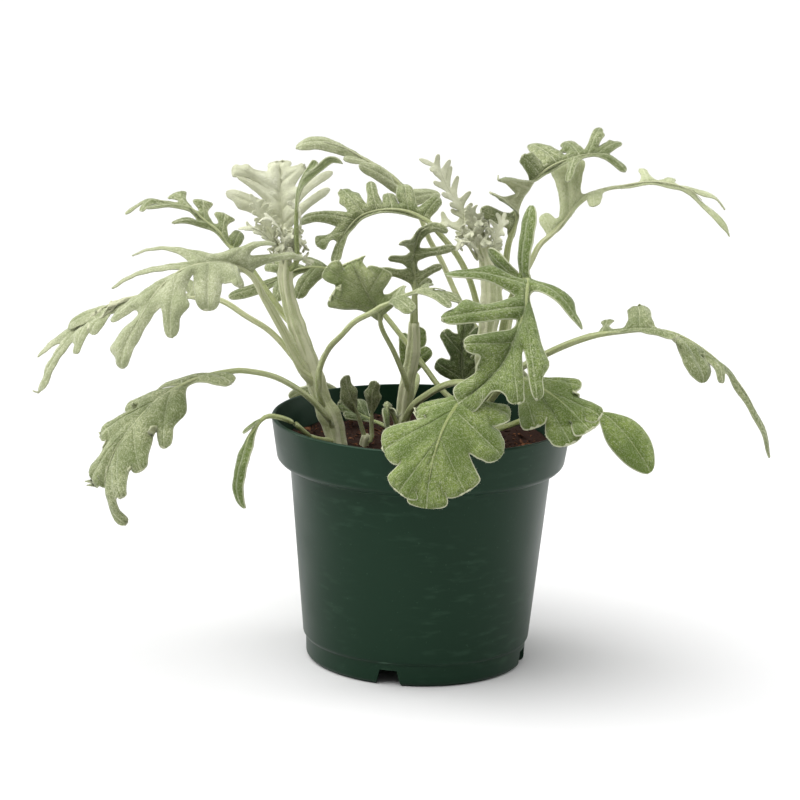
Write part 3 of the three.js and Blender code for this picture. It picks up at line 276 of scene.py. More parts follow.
# Leaves: the midrib's route, the way the upper side faces, and the lobes as [place along the
# midrib, the lobe's tip x, y, z, width, edge, arch, web, tip web], the last three where they differ
# from LOBE_ARCH and the leaf's own web. web is how far out the blade is undivided: a lobe's web
# holds towards the stalk and its tip web towards the leaf's tip. end is the last lobe: [place,
# width, edge, web]. An edge "a|b" differs between the halves: towards the stalk and the tip, or left
# and right on the last lobe. start is where the blade begins.
# root, where there is one, is the point inside the stem that the stalk grows from.
LEAVES = [
    dict(
        name="leaf_left_front", shade="pale", stalk=[2.2, 1.2], start=0.37, web=6, face=[-0.3, -0.6, 1],
            root=[-41, 0, 106],
        spine=[[-45, -3, 111], [-52, -5, 125], [-60, -10, 140], [-65, -16, 150], [-72, -21, 155],
            [-81, -27, 156], [-90, -33, 154], [-98, -38, 147], [-104, -43, 137], [-108, -46, 129],
            [-110, -48, 120]],
        lobes=[[0.41, -45, -1, 155, 3, "finger", 0.26], [0.48, -56, -5, 160, 3, "finger", 0.3],
            [0.54, -110, -8, 154, 2.6, "finger", 0.32],
            [0.6, -117, -22, 145, 4, "toothed|finger", 0.2, 3, 4],
            [0.7, -116, -34, 135, 5, "finger", 0.1, 3, 9],
            [0.46, -68, -34, 149, 5, "blunt", 0.16, 3, 11],
            [0.54, -79, -42, 141, 9, "blunt", 0.16, 11, 3],
            [0.64, -92, -50, 132, 6, "spurred|blunt", 0.2, 3, 11]],
        end=[0.76, 10, "slim|hooked", 15],
    ),
    dict(
        name="leaf_left_far", shade="pale", stalk=[1.2, 1.1], start=0.42, web=7, face=[-0.3, -0.5, 1],
        spine=[[-35, -1, 93], [-38, 1, 99], [-47, 3, 112], [-58, 5, 124], [-68, 6, 130], [-77, 8, 135],
            [-87, 10, 136], [-99, 12, 136], [-110, 13, 135], [-124, 15, 129], [-133, 16, 120],
            [-142, 17, 108], [-149, 18, 95]],
        lobes=[[0.46, -92, 16, 141, 5, "blunt"], [0.58, -137, 20, 121, 9, "blunt", 0.1, 4, 16],
            [0.68, -149, 27, 107, 6, "taper", 0.1, 16, 26], [0.56, -113, 8, 133, 6, "blunt", 0.1, 3],
            [0.66, -127, 8, 121, 8, "broad", 0.1, 4, 12],
            [0.74, -133, 8, 113, 4, "finger", 0.1, 12, 8]],
        end=[0.7, 6, "tailed|toothed", 26],
    ),
    dict(
        name="leaf_left_low", shade="grey", stalk=[1.2, 1.1], start=0.36, web=11,
            face=[-0.5, -0.6, 0.9], root=[-35, -1, 88],
        spine=[[-34, -5, 91], [-40, -10, 100], [-46, -14, 106], [-55, -19, 112], [-64, -24, 115],
            [-71, -28, 116], [-80, -31, 115], [-90, -34, 111], [-100, -37, 104], [-107, -40, 96],
            [-112, -42, 89], [-115, -44, 81], [-116, -45, 73], [-113, -46, 66], [-108, -47, 61]],
        lobes=[[0.44, -70, -38, 114, 9, "blunt", 0.1, 3], [0.46, -100, -24, 107, 4, "taper", 0.2, 3],
            [0.53, -111, -28, 101, 6, "blunt", 0.1, 3, 14],
            [0.55, -94, -49, 91, 6.4, "shouldered|blunt", 0.12, 3, 12],
            [0.6, -119, -32, 91, 9, "blunt", 0.1, 14, 20],
            [0.69, -102, -52, 83, 7, "blunt", 0.1, 12, 15],
            [0.71, -122, -38, 74, 10, "blunt", 0.2, 20, 17],
            [0.76, -109, -53, 73, 5, "blunt", 0.1, 15, 17]],
        end=[0.82, 5, "finger", 17],
    ),
    dict(
        name="leaf_left_rim", shade="green", stalk=[1.2, 1.0], start=0.45, web=3,
            face=[-0.8, -0.6, 0.6], root=[-32, -2, 83],
        spine=[[-35, -6, 85], [-42, -12, 88], [-49, -18, 95], [-57, -23, 98], [-60, -25, 97],
            [-64, -27, 91], [-66, -30, 84], [-68, -33, 76], [-67, -35, 69], [-65, -36, 65]],
        lobes=[[0.52, -67, -25, 92, 2, "finger", 0.1, 1]],
        end=[0.5, 7, "oval", 1],
    ),
    dict(
        name="leaf_left_curled", shade="grey", stalk=[1.4, 0.9], start=0.36, web=2,
            face=[-0.3, -0.5, 1], root=[-49, 3, 127],
        spine=[[-53, 7, 130], [-61, 10, 140], [-68, 13, 149], [-74, 16, 154], [-79, 18, 160],
            [-85, 20, 164], [-90, 22, 168], [-97, 24, 169], [-105, 26, 170], [-111, 28, 168],
            [-116, 29, 164]],
        lobes=[[0.39, -71, 25, 159, 5, "blunt"], [0.47, -77, 27, 166, 8, "forked"],
            [0.57, -86, 29, 171, 8, "forked"], [0.67, -97, 31, 172, 8, "forked"],
            [0.56, -97, 14, 164, 3, "taper"], [0.69, -107, 18, 168, 2, "finger"],
            [0.85, -109, 22, 166, 3, "finger"]],
        end=[0.88, 2.4, "finger"],
    ),
    dict(
        name="leaf_left_back", shade="silver", stalk=[1.6, 1.4], start=0.2, web=6, face=[0, -1, 0.3],
            root=[-52, 7, 145],
        spine=[[-53, 14, 150], [-54, 17, 158], [-55, 19, 167], [-56, 22, 174], [-56, 25, 180],
            [-57, 28, 186]],
        lobes=[[0.66, -75, 22, 184, 6, "forked|toothed", 0.16, 4, 11], [0.56, -73, 20, 181, 3, "taper"],
            [0.4, -77, 18, 175, 5, "hooked|blunt"], [0.76, -47, 24, 185, 4, "finger", 0.16, 5, 8],
            [0.5, -36, 20, 184, 3, "finger"], [0.36, -37, 16, 178, 3, "finger"]],
        end=[0.78, 9, "blunt", 7],
    ),
    dict(
        name="leaf_left_thin", shade="dark", stalk=[1.2, 0.9], start=0.35, web=2, face=[0.6, 0.2, 1],
            root=[-53, 7, 147],
        spine=[[-49, 4, 151], [-49, 2, 161], [-49, 1, 170], [-48, 0, 178], [-46, -1, 184],
            [-41, -3, 189], [-36, -5, 193], [-32, -7, 192]],
        lobes=[[0.61, -42, 4, 190, 3, "finger"]],
        end=[0.66, 3, "finger"],
    ),
    dict(
        name="leaf_back_green", shade="grey", stalk=[1.1, 1.0], start=0.55, web=4, face=[0, -0.7, 1],
            root=[22, 12, 92],
        spine=[[9, 18, 99], [1, 22, 108], [-9, 26, 120], [-18, 29, 130], [-27, 31, 138], [-37, 32, 144],
            [-48, 32, 144], [-60, 31, 138], [-69, 30, 135], [-76, 29, 133]],
        lobes=[[0.66, -49, 22, 134, 6, "blunt"], [0.78, -57, 22, 133, 5, "blunt"],
            [0.72, -63, 38, 144, 6, "blunt"], [0.61, -48, 40, 147, 4, "blunt"]],
        end=[0.82, 5, "blunt"],
    ),
    dict(
        name="leaf_middle_arch", shade="grey", stalk=[1.3, 1.1], start=0.62, web=3, face=[0, -0.3, 1],
            root=[-37, -1, 95],
        spine=[[-38, -4, 99], [-39, -6, 103], [-39, -8, 113], [-36, -10, 121], [-31, -16, 128],
            [-26, -19, 134], [-20, -22, 138], [-15, -25, 142], [-9, -28, 146], [-2, -31, 149],
            [5, -34, 150], [13, -37, 147]],
        lobes=[[0.69, -5, -38, 142, 6, "blunt"], [0.83, 9, -44, 146, 4, "blunt"],
            [0.7, -9, -16, 148, 3, "finger"], [0.8, 2, -18, 149, 3, "finger"]],
        end=[0.86, 5, "blunt"],
    ),
    dict(
        name="leaf_middle_fingers", shade="grey", stalk=[1.7, 1.2], start=0.22, web=2,
            face=[0, -1, 0.5],
        spine=[[-4, 12, 127], [-4, 9, 138], [-4, 8, 145], [-5, 7, 153], [-4, 5, 160], [-2, 2, 165],
            [2, -1, 167], [7, -5, 166]],
        lobes=[[0.37, -18, 4, 149, 3, "finger"], [0.51, -14, 0, 154, 3, "finger"],
            [0.64, -10, -4, 161, 3, "finger"], [0.36, 6, 2, 152, 3, "finger"],
            [0.55, 11, 0, 159, 3, "finger"], [0.25, 2, 4, 146, 3, "finger"]],
        end=[0.74, 4, "finger"],
    ),
    dict(
        name="leaf_middle_arc", shade="grey", stalk=[1.3, 1.1], start=0.5, web=3, face=[-0.2, -0.5, 1],
            root=[24, 11, 114],
        spine=[[24, 16, 119], [20, 19, 134], [17, 21, 143], [12, 23, 152], [5, 25, 160], [0, 26, 165],
            [-6, 27, 168], [-13, 27, 169], [-21, 26, 168], [-26, 24, 166], [-30, 21, 162],
            [-33, 18, 157], [-35, 14, 150]],
        lobes=[[0.54, 5, 34, 173, 5, "blunt"], [0.6, -9, 36, 177, 7, "blunt"],
            [0.66, -15, 35, 174, 5, "blunt"], [0.72, -22, 36, 179, 4, "finger"],
            [0.77, -33, 34, 175, 8, "toothed"], [0.81, -49, 26, 163, 6, "blunt", 0.35, 6],
            [0.87, -42, 16, 156, 8, "forked", 0.2, 3]],
        end=[0.92, 4, "blunt"],
    ),
    dict(
        name="leaf_middle_top", shade="pale", stalk=[1.2, 1.0], start=0.5, web=3,
            face=[-0.1, -0.7, 0.8], root=[24, 11, 110],
        spine=[[25, 22, 118], [18, 26, 126], [12, 30, 136], [6, 34, 148], [1, 37, 156], [-3, 40, 165],
            [-7, 43, 171], [-14, 45, 179], [-25, 47, 185], [-33, 48, 189], [-43, 49, 191],
            [-52, 50, 189]],
        lobes=[[0.58, -27, 38, 184, 5, "blunt"], [0.55, 5, 52, 171, 5, "blunt"],
            [0.7, -33, 40, 186, 3, "finger"]],
        end=[0.8, 6, "blunt", 3],
    ),
    dict(
        name="leaf_middle_folded", shade="grey", stalk=[1.1, 0.9], start=0.5, web=9,
            face=[-0.4, -1, 0.6], root=[-6, 14, 100],
        spine=[[-6, 10, 104], [-11, 6, 117], [-16, 3, 127], [-18, 0, 135], [-22, -3, 142],
            [-25, -5, 148], [-28, -6, 154]],
        lobes=[[0.6, -35, -8, 141, 12, "blunt", 0.1, 14, 16],
            [0.76, -37, -10, 152, 11, "broad", 0.1, 16],
            [0.56, -8, -4, 145, 4, "hooked|taper", 0.3, 4, 7],
            [0.74, -16, -10, 152, 9, "broad", 0.1, 7, 12]],
        end=[0.82, 11, "squared", 14],
    ),
    dict(
        name="leaf_middle_behind", shade="green", stalk=[1.0, 0.9], start=0.25, web=6,
            face=[0, -1, 0.3],
        spine=[[-8, 15, 92], [-8, 24, 97], [-6, 30, 106], [-3, 32, 114], [-2, 33, 122]],
        lobes=[[0.5, 3, 31, 114, 5, "blunt"], [0.54, -8, 31, 120, 4, "blunt"]],
        end=[0.6, 7, "blunt"],
    ),
    dict(
        name="leaf_right_inner", shade="dark", stalk=[1.1, 1.0], start=0.25, web=6,
            face=[-0.2, -1, 0.3], root=[22, 10, 86],
        spine=[[20, 18, 89], [17, 20, 99], [15, 21, 108], [15, 22, 118], [16, 23, 127]],
        lobes=[[0.4, 5, 20, 111, 6, "blunt"], [0.4, 24, 20, 114, 7, "blunt"],
            [0.66, 7, 21, 123, 5, "blunt"], [0.68, 24, 21, 125, 5, "blunt"]],
        end=[0.78, 7, "blunt"],
    ),
    dict(
        name="leaf_middle_low", shade="green", stalk=[0.9, 0.8], start=0.42, web=3, face=[0.3, -1, 0.6],
        spine=[[-9, 15, 86], [-11, 10, 92], [-13, 4, 97], [-14, -1, 99], [-13, -6, 97], [-12, -10, 91]],
        lobes=[[0.55, -8, -6, 95, 4, "finger"]],
        end=[0.6, 6, "broad"],
    ),
    dict(
        name="leaf_inner_dark", shade="dark", stalk=[0.9, 0.8], start=0.25, web=5, face=[-0.2, -0.7, 1],
            root=[-8, 15, 86],
        spine=[[-12, 22, 84], [-19, 26, 86], [-25, 30, 88], [-32, 34, 91]],
        lobes=[[0.45, -25, 36, 92, 5, "blunt"], [0.5, -30, 25, 88, 4, "blunt"]],
        end=[0.62, 6, "blunt"],
    ),
    dict(
        name="leaf_right_upright", shade="grey", stalk=[1.5, 1.2], start=0.36, web=3,
            face=[-0.4, -0.5, 1], root=[24, 10, 122],
        spine=[[26, 13, 126], [27, 14, 137], [30, 14, 149], [31, 15, 158], [33, 16, 166], [34, 17, 173],
            [37, 18, 179], [41, 19, 184], [46, 20, 188], [53, 21, 191], [61, 21, 193], [68, 20, 193],
            [75, 18, 188]],
        lobes=[[0.41, 20, 8, 172, 5, "flagged|finger"], [0.48, 23, 6, 178, 4, "hooked|finger"],
            [0.56, 26, 8, 185, 6, "flagged|blunt"], [0.63, 35, 16, 192, 5, "blunt|hooked"],
            [0.71, 38, 36, 194, 8, "broad"], [0.8, 51, 34, 196, 5, "spurred|blunt"],
            [0.83, 65, 30, 202, 4, "finger|hooked"], [0.87, 73, 28, 198, 4, "hooked|blunt"],
            [0.78, 52, 10, 184, 3, "finger"]],
        end=[0.9, 4, "blunt"],
    ),
    dict(
        name="leaf_right_far", shade="pale", stalk=[1.3, 1.1], start=0.33, web=3, face=[0.3, -0.3, 1],
            root=[24, 11, 116],
        spine=[[30, 12, 120], [33, 15, 132], [36, 18, 143], [40, 20, 151], [43, 22, 157], [48, 23, 162],
            [53, 25, 168], [57, 26, 173], [64, 27, 178], [73, 28, 180], [87, 29, 182], [100, 30, 179],
            [108, 30, 172], [117, 28, 162]],
        lobes=[[0.36, 44, 32, 168, 5, "blunt"], [0.44, 53, 34, 188, 14, "squared", 0.1, 2],
            [0.53, 63, 16, 174, 5, "blunt"], [0.69, 82, 42, 185, 3, "finger"],
            [0.74, 94, 40, 182, 4, "finger"], [0.8, 116, 38, 171, 4, "taper"]],
        end=[0.82, 7, "forked", 2],
    ),
    dict(
        name="leaf_right_front", shade="green", stalk=[1.5, 1.3], start=0.33, web=9, face=[0, -1, 0.5],
            root=[24, 10, 115],
        spine=[[28, 2, 120], [30, -6, 134], [33, -15, 146], [37, -23, 153], [37, -31, 151],
            [36, -38, 144], [33, -44, 136], [29, -49, 127], [22, -53, 119], [13, -57, 113]],
        lobes=[[0.37, 38, -14, 179, 8, "blunt", 0.16, 3], [0.36, 22, -12, 161, 6, "blunt", 0.16, 3],
            [0.47, 6, -28, 155, 6, "spurred|finger", 0.16, 3],
            [0.57, 5, -44, 141, 7.5, "horned|blunt", 0.16, 4, 4],
            [0.71, 14, -54, 134, 7, "blunt", 0.1, 3, 9],
            [0.44, 58, -42, 138, 7, "flagged|taper", 0.3, 3],
            [0.58, 41, -60, 115, 6, "winged|slim", 0.16, 4, 11],
            [0.71, 34, -61, 114, 8, "slim|blunt", 0.16, 7, 17]],
        end=[0.79, 12, "broad", 19],
    ),
    dict(
        name="leaf_right_arching", shade="grey", stalk=[1.5, 1.3], start=0.34, web=4,
            face=[0.3, -0.5, 1], root=[23, 11, 98],
        spine=[[25, 5, 102], [31, 2, 109], [38, -1, 115], [47, -4, 121], [58, -8, 127], [69, -11, 131],
            [84, -13, 133], [93, -14, 132], [103, -15, 127], [112, -16, 120], [120, -17, 111],
            [126, -18, 100], [132, -18, 86]],
        lobes=[[0.37, 69, 1, 134, 5, "forked"], [0.47, 80, 4, 139, 9, "finger", 0.16, 2],
            [0.5, 93, -26, 133, 5, "finger", 0.16, 3, 7],
            [0.57, 104, -26, 116, 12, "broad", 0.12, 8, 5], [0.68, 111, -24, 116, 4, "finger", 0.1, 5]],
        end=[0.75, 5, "taper"],
    ),
    dict(
        name="leaf_right_rim", shade="fresh", stalk=[1.3, 1.1], start=0.4, web=20,
            face=[0.3, -0.9, 0.7], root=[22, 10, 92],
        spine=[[24, 0, 98], [28, -8, 106], [32, -16, 113], [36, -24, 116], [43, -32, 114],
            [51, -40, 110], [61, -48, 102]],
        lobes=[[0.5, 58, -33, 115, 9, "broad", 0.06, 8, 17],
            [0.66, 65, -43, 106, 9, "blunt", 0.06, 17, 16],
            [0.42, 41, -46, 102, 10, "blunt", 0.06, 8, 24],
            [0.54, 54, -50, 97, 13, "blunt", 0.03, 22, 20]],
        end=[0.72, 12, "blunt", 17],
    ),
    dict(
        name="leaf_right_oval", shade="fresh", stalk=[1.2, 1.0], start=0.55, web=2,
            face=[0.4, -0.8, 0.6], root=[22, 10, 87],
        spine=[[24, -3, 89], [31, -6, 92], [39, -9, 96], [52, -13, 101], [65, -17, 102], [75, -21, 95],
            [81, -24, 88], [86, -26, 81]],
        lobes=[],
        end=[0.57, 15, "oval"],
    ),
    dict(
        name="leaf_front", shade="fresh", stalk=[1.4, 1.2], start=0.6, web=14, face=[-0.1, -1, 0.5],
            root=[-8, 15, 83],
        spine=[[-8, 12, 84], [-4, 5, 96], [2, -6, 104], [9, -19, 111], [15, -34, 115], [16, -46, 115],
            [13, -55, 113], [8, -62, 106], [5, -66, 98], [3, -69, 89], [2, -71, 77]],
        lobes=[[0.66, -3, -52, 108, 9, "blunt", 0.16, 8, 12],
            [0.7, -14, -60, 95, 15, "broad|blunt", 0.12, 12, 24],
            [0.79, -8, -69, 82, 13, "blunt", 0.08, 20, 21],
            [0.64, 32, -54, 108, 11, "broad", 0.12, 10, 15],
            [0.7, 29, -63, 95, 14, "broad", 0.12, 15, 14],
            [0.79, 16, -70, 83, 13, "blunt", 0.08, 13, 19]],
        end=[0.84, 16, "broad", 17],
    ),
    dict(
        name="leaf_shoot_left", shade="grey", stalk=[0.9, 0.8], start=0.35, web=2, face=[0.5, -1, 0.3],
        spine=[[-21, 2, 83], [-23, 0, 90], [-25, -3, 97], [-28, -6, 104], [-29, -9, 111]],
        lobes=[],
        end=[0.38, 7, "toothed"],
    ),
    dict(
        name="leaf_shoot_right", shade="grey", stalk=[0.9, 0.8], start=0.35, web=2,
            face=[-0.2, -1, 0.3], root=[-21, 1, 83],
        spine=[[-19, 1, 84], [-19, 1, 90], [-19, -1, 97], [-19, -4, 103], [-18, -7, 108]],
        lobes=[],
        end=[0.38, 6, "toothed"],
    ),
    dict(
        name="leaf_rear_left", shade="green", stalk=[1.3, 1.1], start=0.5, web=4, face=[0, 0.5, 1],
            root=[-37, 0, 92],
        spine=[[-37, 6, 96], [-40, 30, 99], [-41, 62, 95], [-41, 76, 85], [-40, 86, 67], [-38, 92, 44]],
        pairs=3, reach=18, end=[0.86, 7, "toothed"],
    ),
    dict(
        name="leaf_rear_middle", shade="green", stalk=[1.3, 1.1], start=0.5, web=4, face=[0, 0.5, 1],
            root=[-6, 14, 97],
        spine=[[-5, 18, 96], [-2, 40, 99], [-3, 64, 96], [-1, 78, 86], [2, 88, 68], [5, 94, 47]],
        pairs=3, reach=19, end=[0.86, 7, "toothed"],
    ),
    dict(
        name="leaf_rear_right", shade="green", stalk=[1.3, 1.1], start=0.5, web=4, face=[0, 0.5, 1],
            root=[23, 11, 95],
        spine=[[25, 16, 99], [27, 32, 108], [29, 52, 109], [31, 74, 100], [32, 92, 82], [33, 103, 61]],
        pairs=3, reach=17, end=[0.86, 7, "toothed"],
    ),
]


def unit(vectors):
    """The vectors at a length of one."""
    vectors = np.asarray(vectors, float)
    return vectors / np.maximum(np.linalg.norm(vectors, axis=-1, keepdims=True), 1e-12)


def squared_off(vectors, headings):
    """The vectors turned square to the headings."""
    return unit(vectors - np.sum(vectors * headings, axis=-1, keepdims=True) * headings)


def near(distance, reach):
    """One at no distance, fading to nothing over about twice the reach."""
    return np.exp(-((distance / reach) ** 2))


class Route:
    """A smooth curve through points, read by the share of its length from 0 to 1."""

    def __init__(self, points):
        points = np.asarray(points, float)
        points = np.vstack([2 * points[0] - points[1], points, 2 * points[-1] - points[-2]])
        t = np.linspace(0, 1, ROUTE_STEPS, endpoint=False)[:, None]
        stretches = []
        for a, b, c, d in zip(points, points[1:], points[2:], points[3:]):
            before, here, after = (math.sqrt(np.linalg.norm(v)) for v in (b - a, c - b, d - c))
            leave = ((b - a) / before - (c - a) / (before + here) + (c - b) / here) * here
            arrive = ((c - b) / here - (d - b) / (here + after) + (d - c) / after) * here
            bend = 3 * (c - b) - 2 * leave - arrive
            turn = 2 * (b - c) + leave + arrive
            stretches.append(b + leave * t + bend * t**2 + turn * t**3)
        self.samples = np.vstack(stretches + [points[-2:-1]])
        steps = np.linalg.norm(np.diff(self.samples, axis=0), axis=1)
        marks = np.concatenate([[0], np.cumsum(steps)])
        self.length = marks[-1]
        self.marks = marks / self.length
        self.knots = self.marks[::ROUTE_STEPS]
        self.slopes = np.gradient(self.samples, self.marks, axis=0)

    def read(self, place, values):
        return np.stack([np.interp(place, self.marks, column) for column in values.T], axis=-1)

    def point(self, place):
        return self.read(place, self.samples)

    def heading(self, place):
        return unit(self.read(place, self.slopes))


class Midrib:
    """A leaf's midrib, with the way its upper side faces."""

    def __init__(self, spine, face):
        self.route = Route(spine)
        self.face = np.array(face, float)

    def up(self, place):
        return squared_off(self.face, self.route.heading(place))

    def left(self, place):
        return np.cross(self.up(place), self.route.heading(place))


class LobeVein:
    """A lobe's vein: it leaves the midrib, leans towards the leaf's tip and arches over."""

    def __init__(self, midrib, place, tip, arch):
        self.root = midrib.route.point(place)
        self.tip = np.array(tip, float)
        self.length = np.linalg.norm(self.tip - self.root)
        middle = (self.root + self.tip) / 2
        lean = midrib.route.heading(place) * LOBE_LEAN * self.length
        self.knee = middle + midrib.up(place) * arch * self.length + lean

    def point(self, t):
        t = np.asarray(t)[..., None]
        return (1 - t) ** 2 * self.root + 2 * t * (1 - t) * self.knee + t**2 * self.tip

    def heading(self, t):
        t = np.asarray(t)[..., None]
        return unit((1 - t) * (self.knee - self.root) + t * (self.tip - self.knee))


class EndVein:
    """The last stretch of the midrib, which is the end lobe's own vein."""

    def __init__(self, midrib, place):
        self.route = midrib.route
        self.place = place
        self.length = (1 - place) * self.route.length

    def point(self, t):
        return self.route.point(self.place + (1 - self.place) * np.asarray(t))

    def heading(self, t):
        return self.route.heading(self.place + (1 - self.place) * np.asarray(t))


@dataclass
class Lobe:
    """One lobe of a blade, its place and foot given as shares of the midrib."""

    place: float
    side: float
    vein: object
    half_width: float
    outlines: list
    web: float
    tip_web: float
    foot: float

    def neck(self, web):
        return min(max(web / self.vein.length, NECK_LOW), NECK_HIGH)


def paired_lobes(leaf, midrib):
    """Lobes in even pairs along the blade, the longest a third of the way out."""
    rows = []
    for i in range(leaf["pairs"]):
        part = (i + 0.6) / leaf["pairs"]
        place = leaf["start"] + (leaf["end"][0] - leaf["start"]) * part
        reach = leaf["reach"] * math.sin(math.pi * (0.2 + 0.62 * part))
        point = midrib.route.point(place)
        for side in (1, -1):
            sway = leaf.get("sway", 0) * math.sin(7.0 * i + 2.5 * side + reach)
            out = (0.6 + sway) * midrib.route.heading(place) + 0.8 * side * midrib.left(place)
            tip = point + (out - (leaf.get("droop", 0.12) + sway) * midrib.up(place)) * reach
            width = leaf.get("slender", 0.34) * leaf["reach"]
            rows.append([place, *tip, width, leaf.get("edge", "blunt"), leaf.get("arch", LOBE_ARCH)])
    return rows


def outlines_of(edge):
    """The outlines of a lobe's two halves, towards the stalk and towards the leaf's tip."""
    near, _, far = edge.partition("|")
    return [EDGES[near], EDGES[far or near]]


def lobes_of(leaf, midrib):
    """The side lobes and the end lobe of a leaf."""
    length = midrib.route.length
    rows = leaf.get("lobes") or (paired_lobes(leaf, midrib) if "pairs" in leaf else [])
    lobes = []
    for place, x, y, z, width, edge, *rest in rows:
        arch = rest[0] if rest else LOBE_ARCH
        web = rest[1] if len(rest) > 1 else leaf["web"]
        tip_web = rest[2] if len(rest) > 2 else web
        vein = LobeVein(midrib, place, (x, y, z), arch)
        side = np.sign(np.dot(vein.tip - vein.root, midrib.left(place)))
        foot = (width / 2 + FOOT_MARGIN) / length
        lobes.append(Lobe(place, side, vein, width / 2, outlines_of(edge), web, tip_web, foot))
    place, width, edge, *rest = leaf["end"]
    web = rest[0] if rest else leaf["web"]
    foot = (width / 2 + FOOT_MARGIN) / length
    end = Lobe(place, 0, EndVein(midrib, place), width / 2, outlines_of(edge), web, 0, foot)
    return lobes, end


def lobe_outline(lobe, outline, neck, parts):
    """The rounded width of half a lobe at these parts of the way from its neck to its tip."""
    free = lobe.vein.length * (1 - neck)
    knots = [(0, outline[0][1])] + [tuple(knot) for knot in outline]
    points = [(part * free, width * lobe.half_width, 0) for part, width in knots]
    points.append((points[-2][0], -points[-2][1], 0))
    route = Route(points)
    read = route.point(np.linspace(0, route.knots[-2], 120))
    reached = np.maximum.accumulate(read[:, 0])
    width = np.interp(parts * free, reached, np.maximum(read[:, 1], 0))
    width[-1] = 0
    return width


@dataclass
class Detail:
    """How finely a blade is divided."""

    columns: int
    rows: int
    web_rows: int
    strip_step: float


LEAF_DETAIL = Detail(columns=8, rows=26, web_rows=7, strip_step=1.5)
YOUNG_DETAIL = Detail(columns=3, rows=8, web_rows=2, strip_step=2.0)


class Sheet:
    """A thin blade, gathered as grids of points that share their edges."""

    def __init__(self, midrib, detail):
        self.midrib = midrib
        self.detail = detail
        self.grids = []

    def web_steps(self):
        """The rows of the undivided blade, closer together at the midrib."""
        steps = np.linspace(0, 1, self.detail.web_rows + 1) ** WEB_SPREAD
        return steps[:, None, None]

    def gather(self, points, across, along, flip, places):
        """Keeps a grid of points with its surface coordinates."""
        surface = np.stack(np.broadcast_arrays(across, along), -1)
        self.grids.append((points, surface, flip, places))

    def half_lobe(self, lobe, outline, outward, joint, sinus, up):
        """A grid from the midrib out to the lobe's tip, each row from the vein to the margin."""
        across = np.linspace(0, 1, self.detail.columns + 1) ** COLUMN_SPREAD
        neck = lobe.neck(max(lobe.web, lobe.tip_web))
        steps = np.linspace(0, 1, self.detail.rows + 1)
        part = 0.4 * steps + 0.3 * (1 - np.cos(math.pi * steps))
        width = lobe_outline(lobe, outline, neck, part)
        length = lobe.vein.length * (1 - neck)
        bumps = np.abs(np.sin(math.pi * part * length / SCALLOP + 40 * lobe.place)) - 0.6
        width = width * (1 + SCALLOP_DEPTH * bumps * np.sqrt(np.sin(math.pi * part.clip(0, 1))))
        along = neck + (1 - neck) * part
        centres = lobe.vein.point(along)
        edges = []
        normal = up
        for centre, heading, reach in zip(centres, lobe.vein.heading(along), width):
            normal = squared_off(normal, heading)
            edges.append(centre + np.cross(normal, heading) * outward * reach)
        edges = np.array(edges)
        edges += (sinus - edges[0]) * (1 - part[:, None]) ** SINUS_BLEND
        free = centres[:, None] + (edges - centres)[:, None] * across[None, :, None]

        t = self.web_steps()
        s = across[None, :, None]
        places = lobe.place + (joint - lobe.place) * across
        foot = self.midrib.route.point(places)
        left = lobe.vein.point(neck * t[:, 0, 0])[:, None]
        right = foot[-1] + (sinus - foot[-1]) * t
        corners = (1 - t) * ((1 - s) * foot[0] + s * foot[-1])
        corners = corners + t * ((1 - s) * centres[0] + s * sinus)
        web = (1 - s) * left + s * right + (1 - t) * foot[None] + t * free[0][None] - corners
        points = np.concatenate([web[:-1], free])

        reach = np.linalg.norm(points[:, -1] - points[:, 0], axis=1)
        rows = np.concatenate([neck * t[:-1, 0, 0], along]) * lobe.vein.length
        self.gather(points, across[None] * reach[:, None], rows[:, None], outward > 0, places)

    def strip(self, side, start, stop, wing):
        """The narrow blade along the midrib between two lobes that stand apart."""
        length = self.midrib.route.length
        steps = max(1, round((stop - start) * length / self.detail.strip_step))
        places = np.linspace(start, stop, steps + 1)
        ribs = self.midrib.route.point(places)[None]
        edges = np.array([wing(place, side) for place in places])[None]
        points = ribs + (edges - ribs) * self.web_steps()
        reach = np.linalg.norm(points - points[:1], axis=2)
        self.gather(points, reach, (places * length)[None], side < 0, places)

    def weld(self):
        """Shared points, faces with the midrib's points of both sides, and their coordinates."""
        midrib_marks = sorted({round(float(place), 7) for grid in self.grids for place in grid[3]})
        keys = {}
        points = []
        faces = []
        corners = []
        veins = set()

        def index_of(point):
            key = tuple(int(round(value * 1000)) for value in point)
            if key not in keys:
                keys[key] = len(points)
                points.append(point)
            return keys[key]

        for grid, grid_uv, flip, places in self.grids:
            ids = np.array([[index_of(point) for point in row] for row in grid])
            veins.update(ids[0].tolist())
            if len(ids) > self.detail.web_rows + 1:
                veins.update(ids[:, 0].tolist())
            for r in range(len(ids) - 1):
                for c in range(ids.shape[1] - 1):
                    face = [ids[r, c], ids[r, c + 1], ids[r + 1, c + 1], ids[r + 1, c]]
                    uv = [grid_uv[r, c], grid_uv[r, c + 1], grid_uv[r + 1, c + 1], grid_uv[r + 1, c]]
                    if r == 0:
                        low, high = sorted((places[c], places[c + 1]))
                        extra = [m for m in midrib_marks if low + 2e-7 < m < high - 2e-7]
                        extra.sort(reverse=places[c] > places[c + 1])
                        for k, mark in enumerate(extra):
                            share = (mark - places[c]) / (places[c + 1] - places[c])
                            face.insert(1 + k, index_of(self.midrib.route.point(mark)))
                            uv.insert(1 + k, grid_uv[r, c] * (1 - share) + grid_uv[r, c + 1] * share)
                    kept = [k for k in range(len(face)) if face[k] != face[k - 1]]
                    if len({face[k] for k in kept}) < 3:
                        continue
                    if flip:
                        kept.reverse()
                    faces.append([int(face[k]) for k in kept])
                    corners.append([uv[k] for k in kept])
        veins.update(index_of(self.midrib.route.point(mark)) for mark in midrib_marks)
        return np.array(points), faces, corners, sorted(veins)


